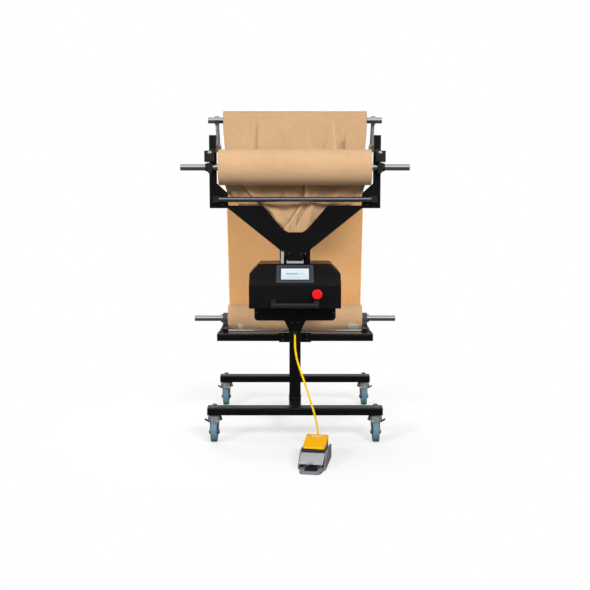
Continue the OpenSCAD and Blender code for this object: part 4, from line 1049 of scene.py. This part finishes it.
def cover_height(v):
    return COVER_LOW + COVER_RISE * (v - COVER_FRONT) / COVER_DEEP


def foot_slab(name, outline, low, high, material, slot, round_edge, under=lambda v: 0):
    """A slab on the foot switch, between two heights over what is under it."""
    rings = [[on_foot(u, v, under(v) + h) for u, v in outline] for h in (low, high)]
    slab(name, *rings, material, slot, round_edge)


rubber = moulded("black_rubber", (0.011, 0.012, 0.015), 0.55)
blank_plate = moulded("blank_plate", (0.62, 0.6, 0.58), 0.4, wear=(0.7, 0.68, 0.66))
outline = [(u, v + 0.082) for u, v in round_outline(0.0175, 0.005, 0.0012)]
foot_slab("name_plate", outline, -0.0002, 0.0005, blank_plate, "grey_casting", 0.0002, cover_height)
out_of_cover = np.subtract(on_foot(0, -COVER_RISE, COVER_DEEP), (*FOOT, 0))
cover_screws = [(on_foot(u, v, cover_height(v)), out_of_cover)
                for u in (-0.033, 0.033) for v in (-0.002, 0.088)]
screws("cover_screws", cover_screws, 0.0024, bright_bar)
ends = [[on_foot(u, v, z) for v, z in SKIRT] for u in (-SKIRT_HALF, SKIRT_HALF)]
slab("rubber_skirt", *ends, rubber, "dark_plastic", 0.0008)
outline = [(u, v - 0.078) for u, v in round_outline(0.023, 0.02, 0.006)]
foot_slab("nose_pad", outline, 0.0079, 0.0095, rubber, "dark_plastic", 0.0006)
for row in range(5):
    rib = [(u, v - 0.093 + 0.0075 * row) for u, v in round_outline(0.019, 0.0015, 0.0014)]
    foot_slab(f"nose_rib_{row}", rib, 0.0094, 0.0107, rubber, "dark_plastic", 0.0006)
print("foot switch trim added")

# %% [markdown]
# The photograph is a plain product shot: white all round, a soft shadow under the machine, and two
# soft lights high in front, the right one a little stronger. A weak third one stands low behind the
# camera, and two narrow ones at the sides reach the web behind the machine, which is bright past both
# sides of the head. What the metal reflects matters as much as what lights it. The bars are grey on
# top, bright across the middle and dark below, and the upright black faces look almost unlit. So the
# room is white high in front, grey overhead and behind, and dark low down. Four cards that only
# reflections can see stand for it, and the lamps themselves don't show in the metal.

# %% Studio lamps and cards
def area_lamp(name, place, target, size, power, spread=180):
    data = bpy.data.lights.new(name, "AREA")
    data.shape = "RECTANGLE"
    data.size, data.size_y = size
    data.energy = power
    data.spread = math.radians(spread)
    lamp = link(name, data)
    lamp.location = place
    lamp.rotation_euler = (Vector(target) - Vector(place)).to_track_quat("-Z", "Y").to_euler()
    lamp.visible_glossy = False


def card(name, low, high, material):
    data = new_mesh(name, square_loop(low, high)[:4], [(0, 1, 2, 3)])
    data.materials.append(material)
    piece = link(name, data)
    return piece


def room_card(name, low, high, glow):
    """A card of even brightness that only glossy reflections see."""
    f = Finish(name + "_finish")
    look = f.coat(base_color=(0, 0, 0, 1), roughness=1.0, specular_ior_level=0.0,
                  emission_color=(glow, glow, glow, 1), emission_strength=1.0)
    piece = card(name, low, high, look)
    piece.visible_camera = piece.visible_diffuse = False
    piece.visible_shadow = piece.visible_transmission = False


area_lamp("softbox_right", (2.5, -5.8, 4.4), (0, 0, 0.9), (2.4, 1.6), 330)
area_lamp("softbox_left", (-4.0, -4.9, 3.1), (0, 0, 0.9), (2.4, 1.6), 235)
area_lamp("softbox_low", (0, -6.4, 1.2), (0, 0, 0.7), (3.0, 1.0), 14)
area_lamp("side_left", (-3.5, -0.35, 0.7), (0, 0.15, 0.62), (0.6, 0.6), 2.0, 22)
area_lamp("side_right", (3.5, -0.35, 0.7), (0, 0.15, 0.62), (0.6, 0.6), 3.2, 22)
area_lamp("softbox_top", (0, 0.4, 6.5), (0, 0, 0.6), (4.0, 3.0), 60)
area_lamp("softbox_back", (-1.0, 4.8, 3.4), (0, 0, 0.8), (4.0, 2.4), 170)
room_card("dark_wall", (-9, -9, 0.0), (9, -9, 2.4), 0.03)
room_card("dark_floor", (-9, -9, 0.0), (9, 7, 0.0), 0.08)
room_card("grey_ceiling", (-9, -3.5, 8.5), (9, 7, 8.5), 0.6)
room_card("grey_wall", (-9, 7, 0.0), (9, 7, 8.5), 0.42)

# %% [markdown]
# White comes from Light Path: rays from the camera, from reflections and through glass see a white
# world, and the floor fades into that white away from the machine. Near the machine the floor stays
# partly a real surface, so the shadow is kept. Light that bounces from it is grey, so that it doesn't
# fill the undersides.

# %% White room
WHITE = (1, 1, 1, 1)
FLOOR, FLOOR_HALF = -0.0005, 14
AMBIENT = 0.14


def background_rays(shader):
    """1 for the rays that see a white world, 0 for those that only carry light."""
    rays = shader.add("LightPath").socket.node
    seen = [Wire(shader, rays.outputs[f"Is {n} Ray"]) for n in ("Camera", "Glossy", "Transmission")]
    return seen[0].most(seen[1]).most(seen[2])


floor_look = Finish("floor_white")
shown = background_rays(floor_look)
x, y, _ = floor_look.along()
away = (x ** 2 + y ** 2) ** 0.5
white_share = shown * (0.58 + 0.42 * away.ease(0.42, 1.15))
tone = floor_look.blend(shown, (0.16, 0.16, 0.16), (0.97, 0.97, 0.97))
surface = floor_look.add("BsdfDiffuse", None, {"Color": tone})
white = floor_look.add("Emission", None, {"Color": WHITE, "Strength": 1.0})
mixed = floor_look.add("MixShader", None, {0: white_share, 1: surface, 2: white})
floor_look.add("OutputMaterial", None, {"Surface": mixed})
card("floor", (-FLOOR_HALF, -FLOOR_HALF, FLOOR), (FLOOR_HALF, FLOOR_HALF, FLOOR), floor_look.material)

world = bpy.data.worlds.new("white_room")
scene.world = world
world.use_nodes = True
room = Shader(world.node_tree)
strength = background_rays(room) * (1 - AMBIENT) + AMBIENT
backdrop = room.add("Background", None, {"Color": WHITE, "Strength": strength})
room.add("OutputWorld", None, {"Surface": backdrop})
print("white room ready")
